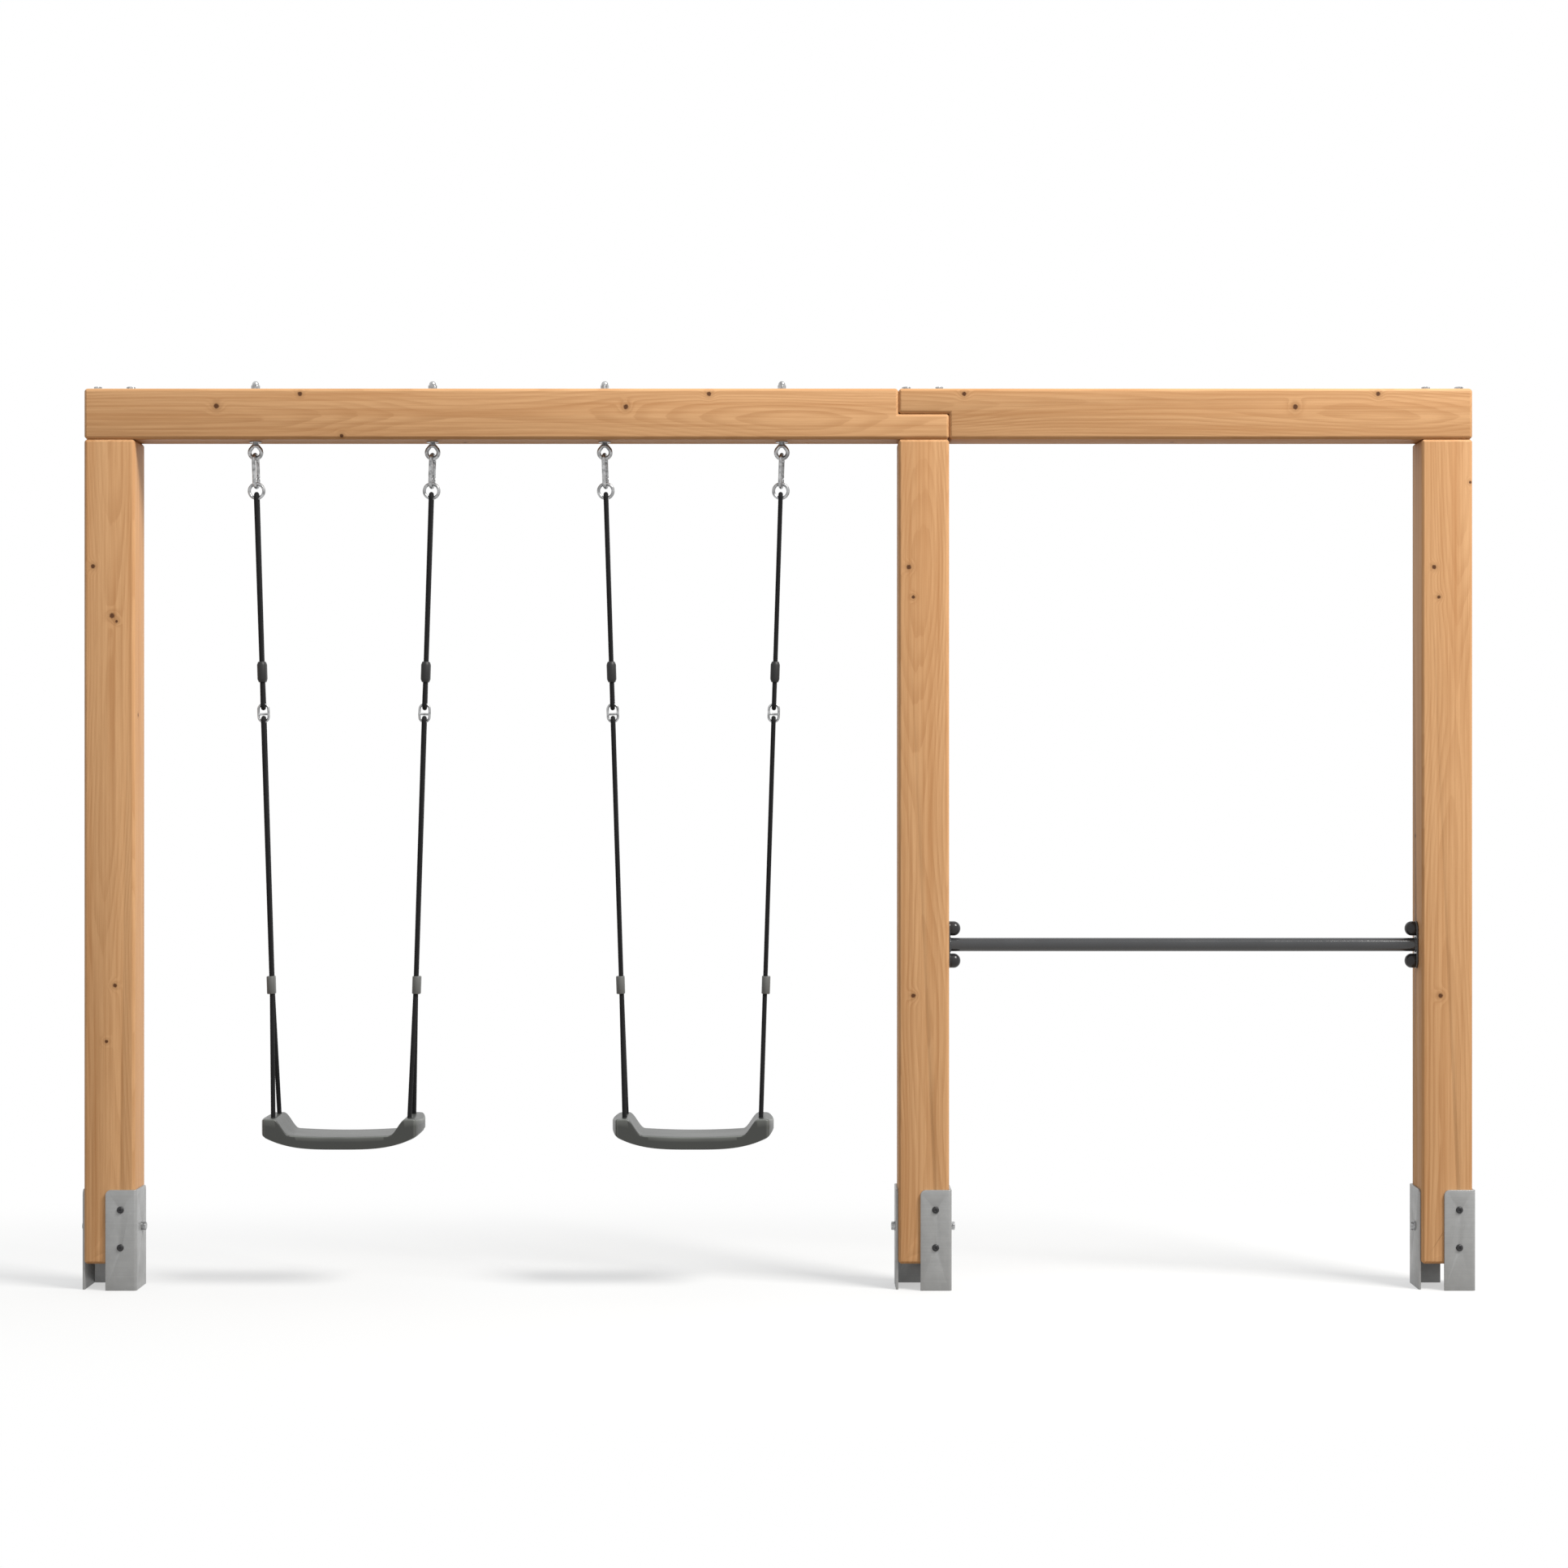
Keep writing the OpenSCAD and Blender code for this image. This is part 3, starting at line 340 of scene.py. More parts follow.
def timber_material(node, props):
    """Sawn softwood: growth rings round a wandering heart, fibres, streaks and knots."""
    made, tree, shader, where = material(f"timber {node}")
    lying = node in BEAMS
    centre = middle(node)
    seed = 3.7 * (POSTS + BEAMS).index(node)
    place = tree.vector("SUBTRACT", where, tuple(centre))
    if lying:  # the grain always runs along the third axis
        place = tree.add("ShaderNodeVectorRotate", {"rotation_type": "Y_AXIS"}, vector=place,
                         angle=math.radians(90)).outputs[0]
    offset = tree.vector("ADD", place, (seed, seed * 0.3, seed * 1.9))
    swell, core = 0.0, 0.0
    for x, y, z, radius in KNOTS[node]:
        knot = tree.add("ShaderNodeGroup", {"node_tree": knot_group()}, vector=where,
                        centre=(x, y, z), outward=facing(Vector((x, y, z)), centre, lying),
                        radius=KNOT_SIZE * radius)
        swell = tree.plus(swell, knot.outputs["Swell"])
        core = tree.math("MAXIMUM", core, knot.outputs["Core"])
    slow = tree.vector("MULTIPLY", offset, (2.0, 2.0, 0.9))
    wander = tree.add("ShaderNodeTexNoise", None, vector=slow, scale=1.0, detail=1.0)
    drift = tree.vector("SUBTRACT", wander.outputs["Color"], (0.5, 0.5, 0.5))
    drift = tree.vector("MULTIPLY", drift, (0.10, 0.10, 0.0))
    pith = tree.vector("ADD", tree.vector("MULTIPLY", place, (1.0, 1.0, 0.0)), drift)
    pith = tree.vector("SUBTRACT", pith, (0.012 * math.sin(seed), 0.018, 0.0))
    far = tree.vector("LENGTH", pith)
    ripple = tree.drawn_noise(offset, (22.0, 22.0, 1.6), 3.0)
    far = tree.plus(far, tree.times(ripple, 0.010))
    far = tree.plus(far, tree.times(swell, 0.011))
    ring = tree.math("FRACT", tree.math("DIVIDE", far, props.ring_width))
    late = tree.times(tree.remap(ring, 0.25, 0.86, smooth=True),
                      tree.remap(ring, 1.0, 0.93, smooth=True))
    strength = tree.drawn_noise(offset, (30.0, 30.0, 0.8), 2.0)
    late = tree.times(late, tree.remap(strength, 0.30, 0.75, 0.15, 0.75))
    fibre = tree.drawn_noise(offset, (900.0, 900.0, 14.0), 3.0, 0.6)
    streak = tree.drawn_noise(offset, (150.0, 150.0, 1.6), 4.0, 0.6)
    band = tree.drawn_noise(offset, (26.0, 26.0, 0.7), 2.0)
    base = tree.mix(tree.times(late, 0.62), rgba(props.pale), rgba(props.dark))
    base = tree.mix(tree.remap(streak, 0.46, 0.72, 0.0, 0.55), base, rgba(props.dark, 1.10))
    base = tree.mix(tree.remap(band, 0.48, 0.72, 0.0, 0.42), base, rgba(props.dark, 1.25))
    base = tree.mix(tree.remap(streak, 0.45, 0.25, 0.0, 0.45), base, rgba(props.pale, 1.12))
    base = tree.mix(tree.remap(fibre, 0.30, 0.75, 0.0, 0.30), base, rgba(props.dark, 0.9))
    halo = tree.times(tree.remap(swell, 0.25, 0.95), 0.38)
    base = tree.mix(halo, base, rgba(props.dark, 0.62))
    base = tree.mix(core, base, rgba(props.knot))
    gloss = tree.remap(tree.plus(late, fibre), 0.3, 1.5, 0.60, 0.46)
    tree.set(shader, base_color=base, roughness=gloss, specular_ior_level=0.20)
    grain = tree.math("SUBTRACT", tree.times(fibre, 0.8),
                      tree.times(late, 0.35))
    grain = tree.math("SUBTRACT", grain, tree.times(core, 0.6))
    bump(tree, shader, grain, 0.35, 0.0006)
    return made


def galvanised_material(props):
    """Hot-dip zinc: crystals of slightly different greys under a dull bloom."""
    made, tree, shader, where = material("galvanised steel")
    cells = tree.add("ShaderNodeTexVoronoi", None, vector=where, scale=1.0 / props.spangle)
    crystal = tree.remap(tree.vector("DOT_PRODUCT", cells.outputs["Color"], (0.4, 0.4, 0.2)),
                         0.1, 0.9, 0.97, 1.03)
    cloud = tree.remap(tree.noise(where, 24.0, 4.0, 0.6), 0.3, 0.7, 0.95, 1.05)
    drawn = tree.drawn_noise(where, (6.0, 6.0, 420.0), 3.0)
    gain = tree.times(tree.times(crystal, cloud),
                      tree.remap(drawn, 0.3, 0.7, 0.96, 1.03))
    base = tree.vector("MULTIPLY", tree.add("ShaderNodeCombineXYZ", None, x=gain, y=gain, z=gain)
                       .outputs[0], tuple(props.galvanised))
    tree.set(shader, base_color=base, metallic=0.45,
             roughness=tree.remap(cloud, 0.95, 1.05, 0.42, 0.34))
    height = tree.plus(tree.times(drawn, 0.5), tree.noise(where, 160.0, 3.0))
    bump(tree, shader, height, 0.10, 0.0004)
    return made


def zinc_material(props):
    """Bright zinc plate with fine drawing lines and a little dulling. Its random darker patches
    are partly the plate's own uneven tone and partly painted reflection of darker surroundings.
    """
    made, tree, shader, where = material("zinc plate")
    dull = tree.noise(where, 90.0, 4.0, 0.6)
    dark_patch_and_reflection = tree.noise(where, 210.0, 3.0, 0.6)
    # Random darker patches: partly the zinc's own uneven tone, partly painted reflection of darker
    # surroundings
    base = tree.mix(tree.remap(dull, 0.38, 0.66), rgba(props.zinc), rgba(props.zinc, 0.45))
    base = tree.mix(tree.remap(dark_patch_and_reflection, 0.52, 0.75, 0.0, 0.55), base, rgba(props.zinc, 0.25))
    tree.set(shader, base_color=base, metallic=1.0,
             roughness=tree.remap(dull, 0.3, 0.75, 0.26, 0.42))
    bump(tree, shader, tree.noise(where, 700.0, 2.0), 0.06, 0.0002)
    return made


def dark_screw_material(props):
    """Black coated steel, worn a little grey on its high spots."""
    made, tree, shader, where = material("dark screw")
    worn = tree.noise(where, 420.0, 3.0, 0.6)
    base = tree.mix(tree.remap(worn, 0.5, 0.8, 0.0, 0.6), rgba(props.dark_screw),
                    rgba(props.dark_screw, 2.6))
    tree.set(shader, base_color=base, metallic=0.5,
             roughness=tree.remap(worn, 0.3, 0.8, 0.35, 0.5))
    bump(tree, shader, worn, 0.08, 0.0003)
    return made


def paint_material(props):
    """Gloss powder coat with a faint orange peel."""
    made, tree, shader, where = material("bar paint")
    peel = tree.noise(where, 330.0, 2.0)
    haze = tree.noise(where, 14.0, 3.0)
    base = tree.mix(tree.remap(haze, 0.4, 0.7, 0.0, 0.35), rgba(props.paint),
                    rgba(props.paint, 1.35))
    tree.set(shader, base_color=base, roughness=tree.remap(haze, 0.3, 0.7, 0.14, 0.20),
             coat_weight=0.35, coat_roughness=0.12)
    bump(tree, shader, peel, 0.10, 0.0003)
    return made


def plastic_material(name, tint, roughness, grain, relief):
    """Moulded plastic: fine eroded grain, faint flow marks, a satin sheen and, where the mesh
    carries it, a painted edge highlight.
    """
    made, tree, shader, where = material(name)
    fine = tree.noise(where, grain, 2.0)
    flow = tree.drawn_noise(where, (7.0, 16.0, 16.0), 3.0)
    base = tree.mix(tree.remap(flow, 0.35, 0.7, 0.0, 0.35), rgba(tint), rgba(tint, 1.14))
    base = tree.mix(tree.remap(fine, 0.55, 0.8, 0.0, 0.35), base, rgba(tint, 0.8))
    # Painted highlight along the seats' rounded edges and corners, read from a mesh attribute; the
    # other mouldings lack it
    rubbed = tree.add("ShaderNodeAttribute", {"attribute_name": "rubbed"}).outputs["Fac"]
    base = tree.mix(tree.times(rubbed, tree.remap(flow, 0.3, 0.6, 0.5, 0.9)),
                    base, rgba(tint, 4.2))
    gloss = tree.remap(tree.plus(fine, flow), 0.6, 1.4, roughness + 0.05,
                       roughness - 0.05)
    tree.set(shader, base_color=base, roughness=gloss, specular_ior_level=0.34)
    bump(tree, shader, fine, relief, 0.0004)
    return made


def rope_material(props):
    """Braided yarn: painted shade between the strands and a painted highlight on their crowns,
    with fine fibres on them.
    """
    made, tree, shader, where = material("braided rope")
    lift = tree.add("ShaderNodeAttribute", {"attribute_name": "lift"}).outputs["Fac"]
    fibre = tree.noise(where, 1900.0, 2.0, 0.6)
    # Painted shade in the hollows between the strands and painted highlight on their crowns, from
    # the braid's height
    base = tree.mix(tree.remap(lift, 0.15, 0.95), rgba(props.tint, 0.35), rgba(props.tint, 1.6))
    base = tree.mix(tree.remap(fibre, 0.5, 0.75, 0.0, 0.5), base, rgba(props.tint, 2.8))
    tree.set(shader, base_color=base, roughness=0.66, specular_ior_level=0.12,
             sheen_weight=0.03, sheen_roughness=0.5)
    bump(tree, shader, tree.plus(lift, tree.times(fibre, 0.4)), 0.5, 0.0004)
    return made


METALS = {
    "galvanised_steel": galvanised_material, "zinc_steel": zinc_material,
    "dark_screw": dark_screw_material, "bar_paint": paint_material}
PLASTICS = {  # roughness, scale of the grain and its strength
    "cap_plastic": (0.22, 500.0, 0.03), "sleeve_plastic": (0.48, 900.0, 0.12),
    "clip_plastic": (0.45, 900.0, 0.12), "seat_plastic": (0.36, 750.0, 0.12)}
_coats = {}


def coat(key):
    """The material for a finish, made once."""
    props = bpy.context.scene.swing_set
    if key not in _coats:
        if key in METALS:
            _coats[key] = METALS[key](props.steel)
        elif key in PLASTICS:
            tint = getattr(props.plastic, key.removesuffix("_plastic"))
            _coats[key] = plastic_material(key.replace("_", " "), tint, *PLASTICS[key])
        else:
            _coats[key] = rope_material(props.rope)
    return _coats[key]


# ---- mesh helpers ----

def linked(name, data):
    """A new object in the scene."""
    made = bpy.data.objects.new(name, data)
    bpy.context.scene.collection.objects.link(made)
    return made


def new_object(name, points, faces):
    """An object from plain lists, smooth where its faces meet at less than 40 degrees."""
    mesh = bpy.data.meshes.new(name)
    mesh.from_pydata([tuple(p) for p in points], [], [tuple(f) for f in faces])
    mesh.validate()
    made = linked(name, mesh)
    tidy_mesh(made)
    return made


def tube_faces(rows, count, closed):
    """Faces between rings of points, closed in a loop or with a flat face at each end."""
    faces = []
    for i in range(rows if closed else rows - 1):
        a, b = i * count, (i + 1) % rows * count
        for k in range(count):
            m = (k + 1) % count
            faces.append((a + k, a + m, b + m, b + k))
    if not closed:
        last = (rows - 1) * count
        faces += [tuple(range(count - 1, -1, -1)), tuple(range(last, last + count))]
    return faces


def shade(made, angle):
    """Smooth shading, with sharp edges from this angle on."""
    made.data.shade_smooth()
    made.data.set_sharp_from_angle(angle=math.radians(angle))


def tidy_mesh(made):
    """Outward faces, no doubles, and smooth shading."""
    work = bmesh.new()
    work.from_mesh(made.data)
    bmesh.ops.remove_doubles(work, verts=work.verts, dist=1e-6)
    bmesh.ops.recalc_face_normals(work, faces=work.faces)
    work.to_mesh(made.data)
    work.free()
    shade(made, 40)


def baked(made):
    """Replaces an object's modifiers by the mesh that they make."""
    bpy.context.view_layer.update()
    seen = made.evaluated_get(bpy.context.evaluated_depsgraph_get())
    mesh = bpy.data.meshes.new_from_object(
        seen, preserve_all_data_layers=True, depsgraph=bpy.context.evaluated_depsgraph_get())
    if made.type == "MESH":
        made.modifiers.clear()
        made.data = mesh
        return made
    name = made.name
    bpy.data.objects.remove(made)
    return linked(name, mesh)


def joined(name, parts):
    """One object from several."""
    with bpy.context.temp_override(
            active_object=parts[0], object=parts[0], selected_objects=parts,
            selected_editable_objects=parts):
        bpy.ops.object.join()
    parts[0].name = name
    parts[0].data.name = name
    return parts[0]


def dress(made, key, body, node, finish=None):
    """Gives a finished piece its material and its body, and hides the node it stands for."""
    made.data.materials.clear()
    made.data.materials.append(finish or coat(key))
    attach(made, body)
    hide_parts(node)
    return made


def keep(node, key):
    """Leaves a node's own mesh in view, with a better material."""
    shown = frame["nodes"][node]
    shown.data.materials.clear()
    shown.data.materials.append(coat(key))


def softened(node, name, width):
    """A copy of a node with its sharp edges rounded."""
    source = frame["nodes"][node]
    made = linked(name, source.data.copy())
    work = bmesh.new()
    work.from_mesh(made.data)
    bmesh.ops.remove_doubles(work, verts=work.verts, dist=2e-6)
    bmesh.ops.dissolve_limit(work, angle_limit=math.radians(0.5), verts=work.verts,
                             edges=work.edges)
    work.to_mesh(made.data)
    work.free()
    if width:
        round_off = made.modifiers.new("edges", "BEVEL")
        round_off.width = width
        round_off.segments = 2
        round_off.limit_method = "ANGLE"
        round_off.angle_limit = math.radians(28)
        round_off.use_clamp_overlap = False
        baked(made)
    shade(made, 35)
    return made


def spun(name, rows, segments=48, ring=False):
    """A turned solid: each row is (height, radius) or (height, radius, across flats).

    With flats, the radius is cut down to a hexagon with that distance across its flats.
    The first and the last row are closed with a flat end, or joined to each other in a ring.
    """
    points = []
    for row in rows:
        height, radius = row[0], row[1]
        for k in range(segments):
            turn = 2 * math.pi * k / segments
            reach = radius
            if len(row) > 2:
                within = math.radians((math.degrees(turn) % 60.0) - 30.0)
                reach = min(radius, row[2] / 2 / math.cos(within))
            points.append((reach * math.cos(turn), reach * math.sin(turn), height))
    return new_object(name, points, tube_faces(len(rows), segments, ring))


def swept(name, path, radius, sides=20, closed=False):
    """A round bar along a path, with frames carried along it."""
    path = np.array(path, float)
    ahead = np.roll(path, -1, axis=0) - np.roll(path, 1, axis=0)
    if not closed:
        ahead[0], ahead[-1] = path[1] - path[0], path[-1] - path[-2]
    ahead /= np.linalg.norm(ahead, axis=1)[:, None]
    normal = np.cross(ahead[0], (0.3, 1.0, 0.2))
    points = []
    for centre, direction in zip(path, ahead):
        normal = normal - direction * normal.dot(direction)
        normal /= np.linalg.norm(normal)
        across = np.cross(direction, normal)
        for k in range(sides):
            turn = 2 * math.pi * k / sides
            points.append(centre + radius * (math.cos(turn) * normal + math.sin(turn) * across))
    return new_object(name, points, tube_faces(len(path), sides, closed))


# ---- geometry node trees ----

def geometry_tree(name, inputs):
    """A new geometry node tree with these named inputs after its geometry."""
    group = bpy.data.node_groups.new(name, "GeometryNodeTree")
    group.interface.new_socket(name="Geometry", in_out="INPUT", socket_type="NodeSocketGeometry")
    for label, kind in inputs:
        group.interface.new_socket(name=label, in_out="INPUT", socket_type=f"NodeSocket{kind}")
    group.interface.new_socket(name="Geometry", in_out="OUTPUT", socket_type="NodeSocketGeometry")
    tree = Tree(group)
    return group, tree, tree.add("NodeGroupInput"), tree.add("NodeGroupOutput")


def run_tree(made, group, **values):
    """Runs a geometry node tree on an object and keeps the mesh."""
    modifier = made.modifiers.new(group.name, "NODES")
    modifier.node_group = group
    for item in group.interface.items_tree:
        key = item.name.replace(" ", "_").lower()
        if item.in_out == "INPUT" and key in values:
            modifier[item.identifier] = values[key]
    return baked(made)


def fastener_tree():
    """Geometry nodes: a template on every point, turned by the point's own angles."""
    name = "Fasteners on points"
    if name in bpy.data.node_groups:
        return bpy.data.node_groups[name]
    group, tree, given, out = geometry_tree(
        name, (("Template", "Object"), ("Size", "Float"), ("Finish", "Material")))
    shape = tree.add("GeometryNodeObjectInfo", None, object=given.outputs["Template"])
    turn = tree.add("GeometryNodeInputNamedAttribute", {"data_type": "FLOAT_VECTOR"}, name="turn")
    turned = tree.add("FunctionNodeEulerToRotation", None, in0=turn.outputs[0])
    placed = tree.add("GeometryNodeInstanceOnPoints", None, points=given.outputs["Geometry"],
                      instance=shape.outputs["Geometry"], rotation=turned,
                      scale=given.outputs["Size"])
    real = tree.add("GeometryNodeRealizeInstances", None, geometry=placed)
    done = tree.add("GeometryNodeSetMaterial", None, geometry=real,
                    material=given.outputs["Finish"])
    tree.put(out.inputs[0], done)
    return group


def fasteners(name, template, places, key):
    """One mesh of a template on many places, each (point, turn in degrees)."""
    mesh = bpy.data.meshes.new(name)
    mesh.from_pydata([tuple(point) for point, _ in places], [], [])
    turns = mesh.attributes.new("turn", "FLOAT_VECTOR", "POINT")
    turns.data.foreach_set("vector", [math.radians(a) for _, turn in places for a in turn])
    made = linked(name, mesh)
    run_tree(made, fastener_tree(), template=template, size=1.0, finish=coat(key))
    bpy.data.objects.remove(template)
    return made


def fit(name, template, places, key, node):
    """A node's fasteners on the frame, one template on every place."""
    dress(fasteners(name, template, places, key), key, "frame", node)


def rope_tree():
    """Geometry nodes: a braided rope along a curve.

    Two sets of strands wind round the rope in opposite ways. In every diamond where they
    cross, one set lies on top and its strand stands up as a round ridge.
    """
    name = "Braided rope"
    if name in bpy.data.node_groups:
        return bpy.data.node_groups[name]
    group, tree, given, out = geometry_tree(
        name, (("Diameter", "Float"), ("Relief", "Float"), ("Pick", "Float"),
               ("Strands", "Float"), ("Step", "Float"), ("Sides", "Int"),
               ("Finish", "Material")))
    route = tree.add("GeometryNodeResampleCurve", {"mode": "LENGTH"},
                     curve=given.outputs["Geometry"], length=given.outputs["Step"])
    far = tree.add("GeometryNodeSplineParameter")
    marked = tree.stored(route, "along", far.outputs["Length"])
    half = tree.times(given.outputs["Diameter"], 0.5)
    half = tree.math("SUBTRACT", half, given.outputs["Relief"])
    ring = tree.add("GeometryNodeCurvePrimitiveCircle", None, resolution=given.outputs["Sides"],
                    radius=half)
    about = tree.add("GeometryNodeSplineParameter")
    circle = tree.stored(ring, "around", about.outputs["Factor"])
    tube = tree.add("GeometryNodeCurveToMesh", None, curve=marked, profile_curve=circle,
                    fill_caps=True)
    picks = tree.math("DIVIDE", tree.named("along"), given.outputs["Pick"])
    turns = tree.times(tree.named("around"), given.outputs["Strands"])
    right = tree.plus(turns, picks)
    left = tree.math("SUBTRACT", turns, picks)
    crossing = tree.plus(tree.math("FLOOR", right), tree.math("FLOOR", left))
    on_top = tree.math("FLOORED_MODULO", crossing, 2.0)
    ridges = []
    for own, other in ((right, left), (left, right)):
        crown = tree.math("SINE", tree.times(tree.math("FRACT", own), math.pi))
        dive = tree.math("SINE", tree.times(tree.math("FRACT", other), math.pi))
        lifted = tree.times(tree.math("POWER", crown, 0.7),
                            tree.plus(tree.times(dive, 0.45), 0.55))
        ridges.append(lifted)
    ridge = tree.plus(tree.times(ridges[0], on_top),
                      tree.times(ridges[1], tree.math("SUBTRACT", 1.0, on_top)))
    lift = tree.stored(tube, "lift", ridge)
    push = tree.times(tree.named("lift"), given.outputs["Relief"])
    offset = tree.scaled(tree.add("GeometryNodeInputNormal"), push)
    shaped = tree.add("GeometryNodeSetPosition", None, geometry=lift, offset=offset)
    smooth = tree.add("GeometryNodeSetShadeSmooth", None, geometry=shaped)
    real = tree.add("GeometryNodeRealizeInstances", None, geometry=smooth)
    done = tree.add("GeometryNodeSetMaterial", None, geometry=real,
                    material=given.outputs["Finish"])
    tree.put(out.inputs[0], done)
    return group


def braided(name, path, closed, diameter=None):
    """A braided rope along a list of points."""
    props = bpy.context.scene.swing_set.rope
    data = bpy.data.curves.new(name, "CURVE")
    data.dimensions = "3D"
    spline = data.splines.new("POLY")
    spline.points.add(len(path) - 1)
    for point, at in zip(spline.points, path):
        point.co = (*at, 1.0)
    spline.use_cyclic_u = closed
    made = linked(name, data)
    step, sides = ((props.step, 28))
    return run_tree(made, rope_tree(), diameter=diameter or props.diameter,
                    relief=props.relief, pick=props.pick, strands=float(props.strands),
                    step=step, sides=sides, finish=coat("rope"))


# ---- hangers: lines from the eyes to the seats ----

ROPE_R = 6.0 * MM
RING_WIRE_R = 4.0 * MM
LINK_WIRE_R = 3.0 * MM
RING_R = 18.0 * MM       # to the middle of the wire
LINK_HALF = 21.7 * MM    # from a link's middle to the middle of its end wires
ROPE_PLAY = 0.4 * MM
STRAND_Y = ROPE_R + 0.2 * MM  # from a hanger's line to each of its two strands
SLEEVE_HALF = 25.5 * MM
CLIP_HALF = 22.0 * MM
ROPE_LEGS = (-1, 1)      # front and back
HOLE_Y = 48 * MM         # from the middle of a seat to its rope holes, front to back
KNOT_TOP = 21.5 * MM     # below a leg's foot, where the boss under the seat's lug ends
KNOT_TURNS = 1.5
KNOT_ROPE = 10.4 * MM    # the knots' rope is pulled tight, so it is a little thinner
KNOT_REACH = 8.8 * MM
LEG_START = 3 * MM       # below the clip
LEG_FOOT = 3 * MM        # above the seat's lug


class Hanger:
    """Places of one hanger, measured down its leaning line from the eye's lowest wire."""

    def __init__(self, name):
        self.name = name
        self.eye = Vector(JOINTS[f"{name}_hook_hang"]["pos_m"])
        link = middle(f"{name}_link")
        self.down = (link - self.eye).normalized()
        self.side = 1 if self.down.x < 0 else -1
        self.ring_bottom = self.reach("ring") + RING_R
        self.link_top = self.reach("link") - LINK_HALF
        self.link_bottom = self.reach("link") + LINK_HALF
        self.sleeve = self.reach("sleeve")
        self.clip = self.reach("clip")

    def reach(self, piece):
        return (middle(f"{self.name}_{piece}") - self.eye).dot(self.down)

    def at(self, far, y=0.0, x=0.0):
        """The point this far down the line, with an offset to the back and along the beam."""
        across = Vector((-self.down.z, 0.0, self.down.x))
        return self.eye + self.down * far + across * x + Vector((0.0, y, 0.0))

    def arc(self, centre, radius, start, end, steps=20):
        """Points of an arc in the plane of the swing's movement, 90 degrees being up."""
        turns = [math.radians(start + (end - start) * i / steps) for i in range(steps + 1)]
        return [self.at(centre - radius * math.sin(a), radius * math.cos(a)) for a in turns]


HANGER = {name: Hanger(name) for name in HANGERS}


def leg_foot(hanger):
    """How far down its line a hanger reaches to the point just over its seat's lug."""
    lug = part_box(hanger.split("_")[0] + "_seat")[1].z
    eye = HANGER[hanger].eye
    return (eye.z - lug - LEG_FOOT) / -HANGER[hanger].down.z


def leg_line(hanger, side):
    """A rope leg from its clip to its hole: its start, its foot and its direction."""
    line = HANGER[hanger]
    start = line.at(line.clip + CLIP_HALF + LEG_START, side * STRAND_Y)
    foot = line.at(leg_foot(hanger), side * HOLE_Y)
    return start, foot, (foot - start).normalized()


def upright_to(made, origin, direction):
    """Moves a shape built along Z from the origin so that it stands along a direction."""
    spin = Vector((0.0, 0.0, 1.0)).rotation_difference(direction).to_matrix().to_4x4()
    made.data.transform(Matrix.Translation(origin) @ spin)
    return made


# ---- profiles of turned parts: rows of (height, radius) or (height, radius, across flats) ----

def in_mm(*rows):
    """Rows given in millimetres."""
    return [tuple(value * MM for value in row) for row in rows]


def dome(radius, low, high, top=0.0, steps=9):
    """Rows of a dome from a wide rim at one height to a small flat at another."""
    rows = []
    for i in range(steps + 1):
        turn = math.pi / 2 * i / steps
        rows.append((low + (high - low) * math.sin(turn), top + (radius - top) * math.cos(turn)))
    return rows


def hexagon(across, low, high):
    """Rows of a hexagon whose upper corners are cut back by a shallow cone."""
    corner = across / 2 / math.cos(math.pi / 6)
    face = across / 2 * 0.97
    slope = math.tan(math.radians(30))
    rows = [(low, corner * 1.01, across)]
    for i in range(5):
        r = corner - (corner - face) * i / 4
        rows.append((high - (r - face) * slope, r, across))
    return rows


def washer(name, outer, hole, thick):
    """A washer with rounded rims, standing on z = 0."""
    r = min(thick * 0.25, 0.4 * MM)
    rows = [(0.0, outer - r), (r, outer), (thick - r, outer), (thick, outer - r),
            (thick, hole + r), (thick - r, hole), (r, hole), (0.0, hole + r)]
    return spun(name, rows, ring=True)


def socket_screw(name):
    """A domed screw head with a hexagon socket."""
    rows = in_mm((0.0, 8.0), (0.25, 8.5), (0.9, 8.5))
    rows += dome(8.5 * MM, 0.9 * MM, 4.0 * MM, top=4.0 * MM)[1:]
    rows += in_mm((4.0, 3.15), (3.7, 2.95), (3.6, 4.0, 5.0), (1.5, 4.0, 5.0), (1.4, 1.5))
    return spun(name, rows, 60)


def anchor_bolt_head(name):
    """A hexagon bolt head on its washer."""
    under = washer(name + "_washer", 10.5 * MM, HOLE_R, WASHER_T)
    rows = in_mm((2.5, 8.4)) + hexagon(18.0 * MM, 2.7 * MM, 10.9 * MM)
    rows += in_mm((10.9, 8.2), (10.75, 7.6))
    return joined(name, [under, spun(name + "_hexagon", rows, 60)])


def anchor_nut(name):
    """A hexagon nut on a washer, with the end of its bolt."""
    under = washer(name + "_washer", 12.0 * MM, HOLE_R, WASHER_T)
    rows = hexagon(18.0 * MM, WASHER_T, 10.1 * MM)
    rows += in_mm((10.1, 7.0), (9.8, 6.2), (9.8, 5.95), (10.1, 5.8), (10.45, 5.2))
    return joined(name, [under, spun(name + "_hexagon", rows, 60)])


def coach_head(name):
    """A hexagon coach screw head, standing above its washer."""
    rows = in_mm((2.5, 9.0)) + hexagon(19.0 * MM, 2.6 * MM, 10.5 * MM)
    rows += in_mm((10.5, 8.8), (10.35, 8.2))
    return spun(name, rows, 60)


def cap_nut(name):
    """A domed hexagon nut."""
    rows = hexagon(19.0 * MM, 0.0, 12.0 * MM)
    rows += in_mm((12.0, 8.8), (12.2, 8.5), (13.5, 8.5))
    rows += dome(8.5 * MM, 13.5 * MM, 22.0 * MM, top=0.3 * MM, steps=12)[1:]
    return spun(name, rows, 60)


